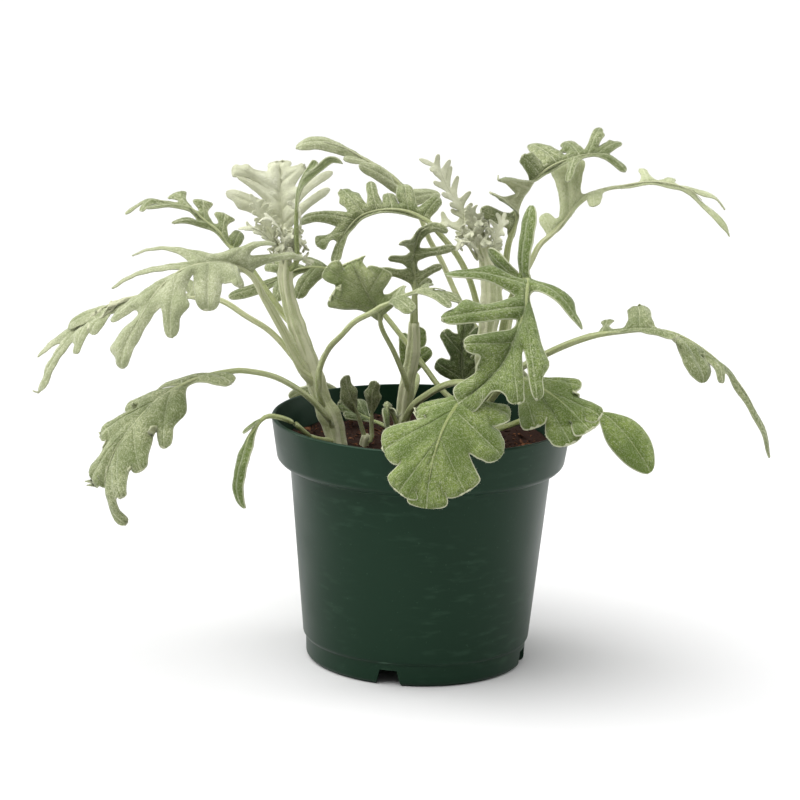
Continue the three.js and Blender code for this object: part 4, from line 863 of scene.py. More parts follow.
def blade_sheet(leaf, detail):
    """The whole blade of a leaf, its two halves sharing the midrib."""
    midrib = Midrib(leaf["spine"], leaf["face"])
    length = midrib.route.length
    lobes, end = lobes_of(leaf, midrib)
    sheet = Sheet(midrib, detail)

    def wing(place, side):
        opening = min((place - leaf["start"]) * length / WING_RUN, 1)
        reach = 0.3 + (WING - 0.3) * opening
        return midrib.route.point(place) + midrib.left(place) * side * reach

    for side in (1, -1):
        own = sorted((lobe for lobe in lobes if lobe.side == side), key=lambda lobe: lobe.place)
        own.append(end)
        gaps = []
        before = None
        for lobe in own:
            before_place = before.place if before else leaf["start"]
            before_foot = before.foot if before else 0
            feet = lobe.foot + before_foot
            web = (lobe.web + before.tip_web) / 2 if before else lobe.web
            if lobe.place - before_place > feet + web / length:
                start, stop = before_place + before_foot, lobe.place - lobe.foot
                gaps.append((start, stop, wing(start, side), wing(stop, side)))
                sheet.strip(side, start, stop, wing)
            else:
                joint = before_place + (lobe.place - before_place) * before_foot / feet
                if before:
                    inner = before.vein.point(before.neck(before.tip_web))
                else:
                    inner = midrib.route.point(joint)
                sinus = (inner + lobe.vein.point(lobe.neck(lobe.web))) / 2
                gaps.append((joint, joint, sinus, sinus))
            before = lobe
        for i, lobe in enumerate(own):
            up = midrib.up(lobe.place)
            _, stop, _, stop_sinus = gaps[i]
            first = 1 if lobe is end and side < 0 else 0
            sheet.half_lobe(lobe, lobe.outlines[first], side, stop, stop_sinus, up)
            if lobe is not end:
                start, _, start_sinus, _ = gaps[i + 1]
                sheet.half_lobe(lobe, lobe.outlines[1], -side, start, start_sinus, up)
    return sheet.weld()


def edge_uses(faces):
    """Each edge once, with how many faces use it."""
    count = {}
    for face in faces:
        for a, b in zip(face, face[1:] + face[:1]):
            key = (a, b) if a < b else (b, a)
            count[key] = count.get(key, 0) + 1
    return count


def smoothed(points, faces):
    """Points eased towards their neighbours, those of the margin only along the margin."""
    count = edge_uses(faces)
    border = [edge for edge, uses in count.items() if uses == 1]
    on_border = np.zeros(len(points), bool)
    on_border[np.array(border).ravel()] = True
    inner = np.array([edge for edge in count if not (on_border[edge[0]] and on_border[edge[1]])])
    for _ in range(EASING_ROUNDS):
        total = np.zeros_like(points)
        number = np.zeros(len(points))
        for edges, mask in ((inner, ~on_border), (np.array(border), on_border)):
            for a, b in ((edges[:, 0], edges[:, 1]), (edges[:, 1], edges[:, 0])):
                use = mask[a]
                np.add.at(total, a[use], points[b[use]])
                np.add.at(number, a[use], 1)
        number = np.maximum(number, 1)[:, None]
        points = points + EASING * (total / number - points) * (number > 1)
    return points


def face_normals(points, faces):
    """The upward normal at each point, averaged over its faces by their size."""
    normals = np.zeros_like(points)
    for face in faces:
        ring = points[face]
        area = np.cross(ring - ring[0], np.roll(ring, -1, axis=0) - ring[0]).sum(axis=0)
        normals[face] += area
    return unit(normals)


def distance_to(points, targets):
    """Each point's distance to the nearest of the target points."""
    tree = KDTree(len(targets))
    for i, target in enumerate(targets):
        tree.insert(target, i)
    tree.balance()
    return np.array([tree.find(point)[2] for point in points])


def waves(points, seed):
    """A gentle unevenness that runs over the surface, between -1 and 1."""
    draw = np.random.default_rng(seed)
    height = np.zeros(len(points))
    for length in WAVE_LENGTHS:
        turn = unit(draw.normal(size=3)) * 2 * math.pi / length
        height += np.sin(points @ turn + draw.uniform(0, 2 * math.pi)) * length / sum(WAVE_LENGTHS)
    return height


class Shape:
    """Points, faces, surface coordinates and attributes gathered for one mesh."""

    def __init__(self):
        self.points = []
        self.faces = []
        self.corners = []
        self.marks = {"margin": [], "vein": [], "upper": [], "stalk": []}

    def add(self, points, faces, corners, **marks):
        base = len(self.points)
        self.points.extend(np.asarray(points).tolist())
        self.faces.extend([base + i for i in face] for face in faces)
        self.corners.extend(corners)
        for name, values in self.marks.items():
            own = marks.get(name, 0.0)
            values.extend(np.broadcast_to(own, len(points)).tolist())

    def mesh(self, name):
        """The mesh in metres, with its surface coordinates and attributes."""
        mesh = bpy.data.meshes.new(name)
        mesh.from_pydata([[v * MM for v in point] for point in self.points], [], self.faces)
        layer = mesh.uv_layers.new(name="surface")
        layer.data.foreach_set("uv", np.array([uv for face in self.corners for uv in face]).ravel())
        for key, values in self.marks.items():
            mesh.attributes.new(key, "FLOAT", "POINT").data.foreach_set("value", values)
        mesh.shade_smooth()
        mesh.validate()
        mesh.update()
        return mesh


def add_blade(shape, leaf, detail, thickness, relief, seed):
    """The blade as a closed thin slab: sunken veins above, raised below, and a rounded margin."""
    points, faces, corners, veins = blade_sheet(leaf, detail)
    points = smoothed(points, faces)
    border = [edge for edge, uses in edge_uses(faces).items() if uses == 1]
    rim = sorted({i for edge in border for i in edge})
    vein = distance_to(points, points[veins])
    margin = distance_to(points, points[rim])
    normals = face_normals(points, faces)
    inland = 1 - near(margin, MARGIN_RUN)
    puffed = PUFF * (1 - near(vein, PUFF_RUN)) * inland
    waved = (WAVE + MARGIN_WAVE * near(margin, MARGIN_WAVE_RUN)) * waves(points, seed)
    lift = relief * (puffed + waved)
    droop = relief * MARGIN_DROOP * near(margin, MARGIN_RUN)
    points = points + normals * (lift - droop)[:, None]
    normals = face_normals(points, faces)
    half = thickness / 2
    groove = GROOVE * relief * near(vein, GROOVE_RUN) * inland
    ridge = RIDGE * relief * near(vein, RIDGE_RUN) * inland
    top = points + normals * (half - groove)[:, None]
    bottom = points - normals * (half + ridge)[:, None]

    directed = set()
    for face in faces:
        directed.update(zip(face, face[1:] + face[:1]))
    loop = [(a, b) for a, b in directed if (b, a) not in directed]
    outward = np.zeros_like(points)
    for a, b in loop:
        side = np.cross(points[b] - points[a], normals[a])
        outward[a] += side
        outward[b] += side
    bead = points[rim] + unit(outward[rim]) * half * BEAD
    n = len(points)
    bead_id = {i: 2 * n + k for k, i in enumerate(rim)}
    all_faces = list(faces) + [[n + i for i in reversed(face)] for face in faces]
    all_corners = list(corners) + [list(reversed(uv)) for uv in corners]
    for a, b in loop:
        rounded = (bead_id[a], bead_id[b])
        for first, second in (((a, b), rounded), (rounded, (n + a, n + b))):
            all_faces.append([first[1], first[0], second[0], second[1]])
            all_corners.append([(0.0, 0.0)] * 4)
    shape.add(
        np.vstack([top, bottom, bead]), all_faces, all_corners,
        margin=np.concatenate([margin, margin, np.zeros(len(rim))]),
        vein=np.concatenate([vein, vein, vein[rim]]),
        upper=np.concatenate([np.ones(n), np.zeros(n), np.full(len(rim), 0.5)]),
    )


def add_tube(shape, route, places, radii, ups, section, sink=None, **marks):
    """A closed tube along a route, its outline given around the upward direction."""
    turns = np.linspace(0, 2 * math.pi, len(section), endpoint=False)
    centres = route.point(places)
    headings = route.heading(places)
    ups = squared_off(ups, headings)
    lefts = np.cross(ups, headings)
    if sink is not None:
        centres = centres - ups * np.asarray(sink)[:, None]
    rings = (np.cos(turns) * section)[None, :, None] * lefts[:, None]
    rings = rings + (np.sin(turns) * section)[None, :, None] * ups[:, None]
    points = centres[:, None] + rings * np.asarray(radii)[:, None, None]
    n, m = points.shape[:2]
    faces = []
    corners = []
    along = places * route.length
    for i in range(n - 1):
        for j in range(m):
            k = (j + 1) % m
            faces.append([i * m + j, i * m + k, (i + 1) * m + k, (i + 1) * m + j])
            u0, u1 = turns[j] * radii[0], (turns[j] + 2 * math.pi / m) * radii[0]
            corners.append([(u0, along[i]), (u1, along[i]), (u1, along[i + 1]), (u0, along[i + 1])])
    faces.append(list(reversed(range(m))))
    faces.append(list(range((n - 1) * m, n * m)))
    corners += [[(0.0, 0.0)] * m, [(0.0, along[-1])] * m]
    faces = [list(reversed(face)) for face in faces]
    corners = [list(reversed(uv)) for uv in corners]
    shape.add(points.reshape(-1, 3), faces, corners, **marks)


def stalk_section(sides):
    """The stalk's outline: round below, with a groove along its upper side."""
    turns = np.linspace(0, 2 * math.pi, sides, endpoint=False)
    off_top = np.abs((turns - math.pi / 2 + math.pi) % (2 * math.pi) - math.pi)
    return 1 - STALK_GROOVE * near(off_top, 0.5) + 0.06 * near(off_top - 1.0, 0.3)


def add_stalk(shape, leaf, sides):
    """The stalk from inside the stem, running on as a thinning rib under the blade."""
    spine = leaf["spine"]
    route = Route([leaf["root"]] + spine) if "root" in leaf else Route(spine)
    blade = Route(spine).length * (1 - leaf["start"]) / route.length
    blade_start = 1 - blade
    end = blade_start + blade * RIB_RUN
    steps = max(8, round(route.length * end / STALK_STEP))
    places = np.linspace(0, end, steps + 1)
    at_base, at_blade = leaf["stalk"]
    part = np.minimum(places / blade_start, 1)
    past = np.clip((places - blade_start) / (end - blade_start), 0, 1)
    radii = (at_base + (at_blade - at_base) * part) * (1 - RIB_THINNING * past**0.6)
    sink = np.maximum(radii - 0.25, 0) * np.clip(past / 0.15, 0, 1)
    ups = np.broadcast_to(np.array(leaf["face"], float), (steps + 1, 3))
    add_tube(shape, route, places, radii, ups, stalk_section(sides), sink, margin=FAR, vein=FAR,
             upper=0.5, stalk=np.repeat(1 - past, sides))


def add_leaf(shape, leaf, detail, thickness, relief, seed, sides=14):
    """A whole leaf: its stalk, and its blade with this thickness and relief."""
    add_stalk(shape, leaf, sides)
    add_blade(shape, leaf, detail, thickness, relief, seed)


class Nodes:
    """Adds nodes to a tree, with their settings and inputs in one call."""

    def __init__(self, tree):
        self.tree = tree

    def add(self, kind, inputs=None, **settings):
        node = self.tree.nodes.new(kind)
        for name, value in settings.items():
            setattr(node, name, value)
        for name, value in (inputs or {}).items():
            if isinstance(value, bpy.types.NodeSocket):
                self.tree.links.new(value, node.inputs[name])
            else:
                node.inputs[name].default_value = value
        return node

    def link(self, source, target):
        self.tree.links.new(source, target)

    def place(self):
        return self.add("ShaderNodeTexCoord").outputs["Object"]

    def fade(self, value, low, high, low_result=0.0, high_result=1.0):
        """A smooth change from one result to the other as the value goes from low to high."""
        node = self.add(
            "ShaderNodeMapRange",
            {"Value": value, "From Min": low, "From Max": high, "To Min": low_result,
             "To Max": high_result},
            interpolation_type="SMOOTHSTEP",
        )
        return node.outputs["Result"]

    def maths(self, operation, first, second):
        node = self.add("ShaderNodeMath", {0: first, 1: second}, operation=operation)
        return node.outputs["Value"]

    def mix(self, share, first, second):
        node = self.add("ShaderNodeMix", {0: share, 6: first, 7: second}, data_type="RGBA")
        return node.outputs[2]

    def attribute(self, name):
        return self.add("ShaderNodeAttribute", attribute_name=name).outputs["Fac"]

    def noise(self, vector, scale, detail=2.0, output="Fac"):
        inputs = {"Vector": vector, "Scale": scale, "Detail": detail}
        return self.add("ShaderNodeTexNoise", inputs).outputs[output]

    def stretched_noise(self, vector, stretch, detail):
        """Noise drawn out along the axes by these scales."""
        mapped = self.add("ShaderNodeMapping", {"Vector": vector, "Scale": stretch})
        return self.noise(mapped.outputs["Vector"], 1.0, detail)

    def random(self, low, high, seed):
        """A random number for each piece."""
        inputs = {2: low, 3: high, "Seed": seed}
        return self.add("FunctionNodeRandomValue", inputs, data_type="FLOAT").outputs[1]

    def random_turn(self, low, high, seed):
        """A random rotation for each piece, between these turns about X, Y and Z."""
        inputs = {"Min": low, "Max": high, "Seed": seed}
        turn = self.add("FunctionNodeRandomValue", inputs, data_type="FLOAT_VECTOR")
        return self.add("FunctionNodeEulerToRotation", {"Euler": turn.outputs["Value"]}).outputs[0]

    def finish(self, shader, colour, height, strength, depth):
        """The colour and a bump of this depth in metres on the shader."""
        bump = self.add("ShaderNodeBump",
                        {"Height": height, "Strength": strength, "Distance": depth})
        self.link(colour, shader.inputs["Base Color"])
        self.link(bump.outputs["Normal"], shader.inputs["Normal"])

    def lay_over(self, surface, instances, material, result):
        """Real copies of the instances joined to the surface, in the material."""
        real = self.add("GeometryNodeRealizeInstances", {"Geometry": instances})
        both = self.add("GeometryNodeJoinGeometry", {"Geometry": real.outputs["Geometry"]})
        self.link(surface, both.inputs["Geometry"])
        painted = self.add("GeometryNodeSetMaterial",
                           {"Geometry": both.outputs["Geometry"], "Material": material})
        self.link(painted.outputs["Geometry"], result.inputs["Geometry"])


def linear(red, green, blue):
    """A colour given as 0 to 255 in each channel, as linear red, green, blue and alpha."""
    parts = [value / 255 for value in (red, green, blue)]
    parts = [v / 12.92 if v <= 0.04045 else ((v + 0.055) / 1.055) ** 2.4 for v in parts]
    return (*parts, 1.0)


def new_group(name, inputs, outputs, kind="ShaderNodeTree"):
    """A node group with these named inputs and outputs."""
    tree = bpy.data.node_groups.new(name, kind)
    for in_out, sockets in (("INPUT", inputs), ("OUTPUT", outputs)):
        for label, socket_type, default in sockets:
            socket = tree.interface.new_socket(label, in_out=in_out, socket_type=socket_type)
            if default is not None:
                socket.default_value = default
    return tree


COLOUR = "NodeSocketColor"
NUMBER = "NodeSocketFloat"
GEOMETRY = "NodeSocketGeometry"


def shared_group(name, build):
    """The node group of this name, built where it isn't there yet."""
    return bpy.data.node_groups.get(name) or build(name)


def felt_tree(name):
    """Leaf surface: green that varies in patches, white felt in streaks, cream at the margin."""
    tree = new_group(
        name,
        [
            ("Leaf", COLOUR, (0.2, 0.3, 0.1, 1)),
            ("Deep", COLOUR, (0.1, 0.2, 0.05, 1)),
            ("Under", COLOUR, (0.5, 0.5, 0.4, 1)),
            ("Wool", COLOUR, (0.8, 0.8, 0.7, 1)),
            ("Stalk", COLOUR, (0.5, 0.5, 0.3, 1)),
            ("Rib", COLOUR, (0.3, 0.4, 0.2, 1)),
            ("Wool Amount", NUMBER, 0.4),
            ("Rim", NUMBER, 0.7),
        ],
        [("Color", COLOUR, None), ("Height", NUMBER, None)],
    )
    nodes = Nodes(tree)
    given = nodes.add("NodeGroupInput").outputs
    result = nodes.add("NodeGroupOutput")
    place = nodes.place()
    surface = nodes.add("ShaderNodeUVMap", uv_map="surface").outputs["UV"]
    streaks = nodes.stretched_noise(surface, (2.6, 0.8, 1), 3.0)
    patches = nodes.noise(place, 85.0, 3.0)
    mottle = nodes.noise(place, 620.0, 3.0)
    fine = nodes.noise(place, 2300.0, 2.0)
    margin = nodes.attribute("margin")
    vein = nodes.attribute("vein")
    upper = nodes.attribute("upper")
    stalk = nodes.attribute("stalk")

    colour = nodes.mix(nodes.fade(patches, 0.36, 0.66), given["Leaf"], given["Deep"])
    colour = nodes.mix(nodes.fade(mottle, 0.46, 0.66, 0, 0.8), colour, given["Deep"])
    beside = nodes.maths("MULTIPLY", nodes.fade(vein, 1.5, 0.5), nodes.fade(vein, 0.2, 0.45))
    colour = nodes.mix(nodes.maths("MULTIPLY", beside, 0.45), colour, given["Deep"])
    colour = nodes.mix(nodes.fade(upper, 0.35, 0.75), given["Under"], colour)
    threads = nodes.fade(streaks, 0.48, 0.72, 0, 0.85)
    dots = nodes.fade(fine, 0.46, 0.66)
    shift = nodes.noise(place, 160.0, output="Color")
    uneven = nodes.add("ShaderNodeMix", {0: 0.012, 4: place, 5: shift}, data_type="VECTOR",
                       clamp_factor=False).outputs[1]
    cells = nodes.add("ShaderNodeTexVoronoi", {"Vector": uneven, "Scale": 300.0},
                      feature="DISTANCE_TO_EDGE").outputs["Distance"]
    net = nodes.fade(cells, 0.12, 0.02)
    colour = nodes.mix(nodes.maths("MULTIPLY", net, 0.25), colour, given["Deep"])
    wool = nodes.maths("ADD", threads, nodes.maths("MULTIPLY", dots, 0.75))
    wool = nodes.maths("MULTIPLY", wool, nodes.fade(patches, 0.7, 0.35, 0.55, 1.1))
    wool = nodes.maths("MULTIPLY", wool, given["Wool Amount"])
    on_vein = nodes.fade(vein, 0.36, 0.1, 0, 0.26)
    on_vein = nodes.maths("MULTIPLY", on_vein, nodes.fade(mottle, 0.35, 0.6, 0.4, 1.2))
    wool = nodes.maths("MINIMUM", nodes.maths("ADD", wool, on_vein), 0.85)
    colour = nodes.mix(wool, colour, given["Wool"])
    rim = nodes.fade(nodes.maths("ADD", margin, nodes.maths("MULTIPLY", fine, 0.3)), 0.5, 0.2)
    colour = nodes.mix(nodes.maths("MULTIPLY", rim, given["Rim"]), colour, given["Wool"])
    ribs = nodes.fade(nodes.stretched_noise(surface, (0.9, 0.05, 1), 2.0), 0.42, 0.6, 0, 0.75)
    stalk_colour = nodes.mix(ribs, given["Stalk"], given["Rib"])
    stalk_colour = nodes.mix(nodes.maths("MULTIPLY", dots, 0.4), stalk_colour, given["Wool"])
    colour = nodes.mix(stalk, colour, stalk_colour)
    nodes.link(colour, result.inputs["Color"])
    relief = nodes.maths("ADD", nodes.maths("MULTIPLY", mottle, 2.0), fine)
    relief = nodes.maths("SUBTRACT", relief, nodes.maths("MULTIPLY", net, 0.5))
    nodes.link(nodes.maths("ADD", streaks, relief), result.inputs["Height"])
    return tree


def principled(name):
    """A new node material: its nodes and its shader."""
    material = bpy.data.materials.new(name)
    material.use_nodes = True
    nodes = Nodes(material.node_tree)
    shader = material.node_tree.nodes["Principled BSDF"]
    return material, nodes, shader


def leaf_material(name, looks, shade):
    """The woolly felt of leaves and stems in one shade."""
    material, nodes, shader = principled(name)
    felt = nodes.add("ShaderNodeGroup", node_tree=shared_group("Woolly Felt", felt_tree))
    for socket, value in {**shade, "Wool": tuple(looks.wool)}.items():
        felt.inputs[socket].default_value = value
    nodes.finish(shader, felt.outputs["Color"], felt.outputs["Height"], 0.45, 0.3 * MM)
    shader.inputs["Roughness"].default_value = 0.72
    shader.inputs["Specular IOR Level"].default_value = 0.22
    shader.inputs["Sheen Weight"].default_value = 0.25
    shader.inputs["Sheen Roughness"].default_value = 0.45
    return material


def hair_tree(name):
    """Short hairs that lie over a surface, closer together along the margin."""
    tree = new_group(
        name,
        [
            ("Geometry", GEOMETRY, None),
            ("Density", NUMBER, 1.0),
            ("Margin Density", NUMBER, 3.0),
            ("Length", NUMBER, 0.001),
            ("Thickness", NUMBER, 0.00004),
            ("Seed", "NodeSocketInt", 1),
            ("Material", "NodeSocketMaterial", None),
        ],
        [("Geometry", GEOMETRY, None)],
        "GeometryNodeTree",
    )
    nodes = Nodes(tree)
    given = nodes.add("NodeGroupInput").outputs
    result = nodes.add("NodeGroupOutput")
    margin = nodes.add("GeometryNodeInputNamedAttribute", {"Name": "margin"}, data_type="FLOAT")
    extra = nodes.fade(margin.outputs["Attribute"], 0.6, 0.1)
    extra = nodes.maths("MULTIPLY", extra, given["Margin Density"])
    density = nodes.maths("ADD", given["Density"], extra)
    points = nodes.add(
        "GeometryNodeDistributePointsOnFaces",
        {"Mesh": given["Geometry"], "Density": density, "Seed": given["Seed"]},
        distribute_method="RANDOM",
    )
    lean = nodes.random_turn((0.55, 0, 0), (1.3, 0, 2 * math.pi), 3)
    rotation = nodes.add(
        "FunctionNodeRotateRotation",
        {"Rotation": points.outputs["Rotation"], "Rotate By": lean},
        rotation_space="LOCAL",
    )
    hair = nodes.add(
        "GeometryNodeMeshCone",
        {"Vertices": 3, "Radius Top": 0.0, "Radius Bottom": given["Thickness"],
         "Depth": given["Length"]},
        fill_type="NONE",
    )
    hairs = nodes.add(
        "GeometryNodeInstanceOnPoints",
        {"Points": points.outputs["Points"], "Instance": hair.outputs["Mesh"],
         "Rotation": rotation.outputs["Rotation"], "Scale": nodes.random(0.5, 1.3, 5)},
    )
    nodes.lay_over(given["Geometry"], hairs.outputs["Instances"], given["Material"], result)
    return tree


def mulch_tree(name):
    """Bark chips and crumbs that lie over the soil, each with its own tone."""
    tree = new_group(
        name,
        [
            ("Geometry", GEOMETRY, None),
            ("Pieces", "NodeSocketCollection", None),
            ("Density", NUMBER, 30000.0),
            ("Smallest", NUMBER, 0.5),
            ("Largest", NUMBER, 1.5),
            ("Radius", NUMBER, 0.05),
            ("Seed", "NodeSocketInt", 1),
            ("Material", "NodeSocketMaterial", None),
        ],
        [("Geometry", GEOMETRY, None)],
        "GeometryNodeTree",
    )
    nodes = Nodes(tree)
    given = nodes.add("NodeGroupInput").outputs
    result = nodes.add("NodeGroupOutput")
    position = nodes.add("GeometryNodeInputPosition").outputs["Position"]
    flat = nodes.add("ShaderNodeVectorMath", {0: position, 1: (1, 1, 0)}, operation="MULTIPLY")
    reach = nodes.add("ShaderNodeVectorMath", {0: flat.outputs["Vector"]}, operation="LENGTH")
    normal = nodes.add("ShaderNodeSeparateXYZ", {0: nodes.add("GeometryNodeInputNormal").outputs[0]})
    inside = nodes.maths("LESS_THAN", reach.outputs["Value"], given["Radius"])
    upward = nodes.maths("GREATER_THAN", normal.outputs["Z"], 0.4)
    points = nodes.add(
        "GeometryNodeDistributePointsOnFaces",
        {"Mesh": given["Geometry"], "Density": given["Density"], "Seed": given["Seed"],
         "Selection": nodes.maths("MULTIPLY", inside, upward)},
        distribute_method="RANDOM",
    )
    pieces = nodes.add(
        "GeometryNodeCollectionInfo",
        {"Collection": given["Pieces"], "Separate Children": True, "Reset Children": True},
    )
    turn = nodes.random_turn((-0.5, -0.5, 0), (0.5, 0.5, 2 * math.pi), 4)
    size = nodes.random(given["Smallest"], given["Largest"], 6)
    laid = nodes.add(
        "GeometryNodeInstanceOnPoints",
        {"Points": points.outputs["Points"], "Instance": pieces.outputs["Instances"],
         "Pick Instance": True, "Rotation": turn, "Scale": size},
    )
    marked = nodes.add(
        "GeometryNodeStoreNamedAttribute",
        {"Geometry": laid.outputs["Instances"], "Name": "tone", "Value": nodes.random(0.1, 1.0, 8)},
        data_type="FLOAT", domain="INSTANCE",
    )
    nodes.lay_over(given["Geometry"], marked.outputs["Geometry"], given["Material"], result)
    return tree


def linked(data, name):
    """An object for the mesh, light or camera, in the scene."""
    obj = bpy.data.objects.new(name, data)
    bpy.context.scene.collection.objects.link(obj)
    return obj


def apply_modifiers(obj):
    """The object's mesh as its modifiers leave it, and the modifiers removed."""
    graph = bpy.context.evaluated_depsgraph_get()
    before = obj.data
    mesh = bpy.data.meshes.new_from_object(
        obj.evaluated_get(graph), preserve_all_data_layers=True, depsgraph=graph
    )
    obj.modifiers.clear()
    obj.data = mesh
    mesh.name = before.name
    bpy.data.meshes.remove(before)


def run_tree(obj, tree, values):
    """The object's mesh as the geometry node tree makes it with these input values."""
    modifier = obj.modifiers.new(tree.name, "NODES")
    modifier.node_group = tree
    for item in tree.interface.items_tree:
        if item.in_out == "INPUT" and item.name in values:
            modifier[item.identifier] = values[item.name]
    apply_modifiers(obj)


def settle(obj, node):
    """The piece rides on the body in place of the solid."""
    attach(obj, BODY)
    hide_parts(node)


def rounded_profile(corners):
    """A profile of radius and height, each corner rounded by its own radius."""
    points = []
    for i, (r, z, fillet) in enumerate(corners):
        here = np.array([r, z], float)
        if fillet == 0 or i in (0, len(corners) - 1):
            points.append(here)
            continue
        back = np.array(corners[i - 1][:2], float) - here
        onward = np.array(corners[i + 1][:2], float) - here
        cut = min(fillet, 0.45 * np.linalg.norm(back), 0.45 * np.linalg.norm(onward))
        start, end = here + unit(back) * cut, here + unit(onward) * cut
        for t in np.linspace(0, 1, CORNER_STEPS + 1):
            points.append((1 - t) ** 2 * start + 2 * t * (1 - t) * here + t**2 * end)
    return points


def revolved(profile, segments, raise_point=None):
    """Points and faces of a profile turned round Z, its two ends on the axis."""
    points = []
    rings = []
    for r, z in profile:
        if r < 1e-6:
            rings.append([len(points)])
            points.append((0.0, 0.0, z))
            continue
        turns = np.linspace(0, 2 * math.pi, segments, endpoint=False)
        rings.append(list(range(len(points), len(points) + segments)))
        points.extend((r * math.cos(a), r * math.sin(a), z) for a in turns)
    if raise_point:
        points = [raise_point(*point) for point in points]
    faces = []
    for low, high in zip(rings, rings[1:]):
        for j in range(segments):
            k = (j + 1) % segments
            if len(low) == 1 and len(high) == 1:
                continue
            if len(low) == 1:
                faces.append([low[0], high[k], high[j]])
            elif len(high) == 1:
                faces.append([low[j], low[k], high[0]])
            else:
                faces.append([low[j], low[k], high[k], high[j]])
    return points, faces


def plain_mesh(name, points, faces):
    """The mesh of points in millimetres."""
    mesh = bpy.data.meshes.new(name)
    mesh.from_pydata([[v * MM for v in point] for point in points], [], faces)
    mesh.validate()
    mesh.update()
    return mesh


class PotSettings(bpy.types.PropertyGroup):
    plastic: FloatVectorProperty(
        name="Plastic", description="Colour of the moulded plastic", subtype="COLOR",
        size=4, min=0, max=1, default=linear(13, 39, 25),
    )
    # The same pale colour also paints the highlights along the pot's edges.
    wear_and_edge_highlight: FloatVectorProperty(
        name="Worn plastic", description="Colour where the plastic is rubbed pale",
        subtype="COLOR", size=4, min=0, max=1, default=linear(70, 100, 80),
    )


class SoilSettings(bpy.types.PropertyGroup):
    peat: FloatVectorProperty(
        name="Peat", description="Colour of the fine soil", subtype="COLOR",
        size=4, min=0, max=1, default=linear(44, 27, 20),
    )
    bark: FloatVectorProperty(
        name="Bark", description="Colour of the palest bark chips", subtype="COLOR",
        size=4, min=0, max=1, default=linear(140, 92, 62),
    )
    chips: FloatProperty(
        name="Chips", description="Bark chips on each square metre", min=0, default=34000,
    )
    crumbs: FloatProperty(
        name="Crumbs", description="Small crumbs on each square metre", min=0, default=330000,
    )
    seed: IntProperty(name="Seed", description="Arrangement of the bark", default=12)


class FoliageSettings(bpy.types.PropertyGroup):
    blade: FloatProperty(
        name="Blade thickness", description="Thickness of a leaf blade", unit="LENGTH",
        min=0.0003, default=0.0006,
    )
    relief: FloatProperty(
        name="Relief", description="How deeply the blade puffs between its veins",
        unit="LENGTH", min=0, default=0.0011,
    )
    hairs: FloatProperty(
        name="Hairs", description="Felt hairs on each square metre", min=0, default=1.1e6,
    )
    margin_hairs: FloatProperty(
        name="Margin hairs", description="More hairs on each square metre at the margin",
        min=0, default=2.0e6,
    )
    hair_length: FloatProperty(
        name="Hair length", description="Length of the felt hairs", unit="LENGTH",
        min=0, default=0.0007,
    )
    wool: FloatVectorProperty(
        name="Wool", description="Colour of the felt and the margins", subtype="COLOR",
        size=4, min=0, max=1, default=linear(196, 199, 168),
    )


class StageSettings(bpy.types.PropertyGroup):
    lens: FloatProperty(
        name="Lens", description="Focal length of the camera in millimetres",
        min=10, default=140.1,
    )
    floor: FloatVectorProperty(
        name="Floor", description="Colour of the studio floor", subtype="COLOR",
        size=4, min=0, max=1, default=(0.67, 0.67, 0.67, 1),
    )


# The leaves' shades: the colours of the upper side, its deeper patches, the under side, the
# stalk and the ribs along it, how much felt shows, and how pale the margin is.
SHADES = {
    "silver": {
        "Leaf": linear(212, 213, 192), "Deep": linear(190, 192, 164), "Under": linear(210, 210, 190),
        "Stalk": linear(196, 197, 164), "Rib": linear(152, 160, 112), "Wool Amount": 0.8, "Rim": 0.2,
    },
    "pale": {
        "Leaf": linear(164, 169, 133), "Deep": linear(136, 144, 104), "Under": linear(188, 189, 159),
        "Stalk": linear(188, 190, 150), "Rib": linear(150, 160, 106), "Wool Amount": 0.75, "Rim": 0.2,
    },
    "grey": {
        "Leaf": linear(134, 142, 96), "Deep": linear(98, 110, 62), "Under": linear(168, 172, 134),
        "Stalk": linear(170, 176, 130), "Rib": linear(136, 148, 86), "Wool Amount": 0.6, "Rim": 0.35,
    },
    "green": {
        "Leaf": linear(106, 124, 56), "Deep": linear(80, 98, 38), "Under": linear(144, 152, 104),
        "Stalk": linear(158, 166, 112), "Rib": linear(120, 134, 66), "Wool Amount": 0.42, "Rim": 0.75,
    },
    "fresh": {
        "Leaf": linear(114, 132, 58), "Deep": linear(84, 104, 38), "Under": linear(150, 158, 102),
        "Stalk": linear(160, 168, 112), "Rib": linear(124, 138, 66), "Wool Amount": 0.42, "Rim": 0.9,
    },
    "dark": {
        "Leaf": linear(80, 95, 44), "Deep": linear(58, 74, 30), "Under": linear(118, 130, 82),
        "Stalk": linear(140, 150, 96), "Rib": linear(98, 112, 56), "Wool Amount": 0.28, "Rim": 0.5,
    },
}

# Leaves that are lighter than their shade, where light comes through them.
TONES = {"leaf_middle_folded": 1.5, "leaf_right_far": 1.35, "leaf_right_oval": 1.15}

# What the finer young leaves add to those of the solids.
YOUNG_FORM = {"edge": "finger", "slender": 0.24, "droop": -0.35, "arch": -0.2, "sway": 0.25}
MORE_PAIRS = 2

# The smallest leaves: how many, the turn and the drop from one to the next, the way each rises
# outwards and up before it curls over, and its form.
BUDS = 14
BUD_TURN = 2.4
BUD_DROP = 0.8
BUD_RISE = ((0.0, 0), (1.3, 2.0), (2.8, 4.2), (4.2, 4.8), (5.0, 3.8), (4.6, 2.4))
BUD_FORM = {**YOUNG_FORM, "pairs": 3, "edge": "blunt", "slender": 0.5, "droop": -0.6}


def piece_name(node):
    """leaf_front and stem_left as front_leaf and left_stem."""
    kind, _, rest = node.partition("_")
    return f"{rest}_{kind}"


def toned(shade, tone):
    """A shade with its felt colours made lighter or darker."""
    felt = {part: tuple(min(1, tone * c) for c in shade[part][:3]) + (1,)
            for part in ("Leaf", "Deep", "Under")}
    return {**shade, **felt}


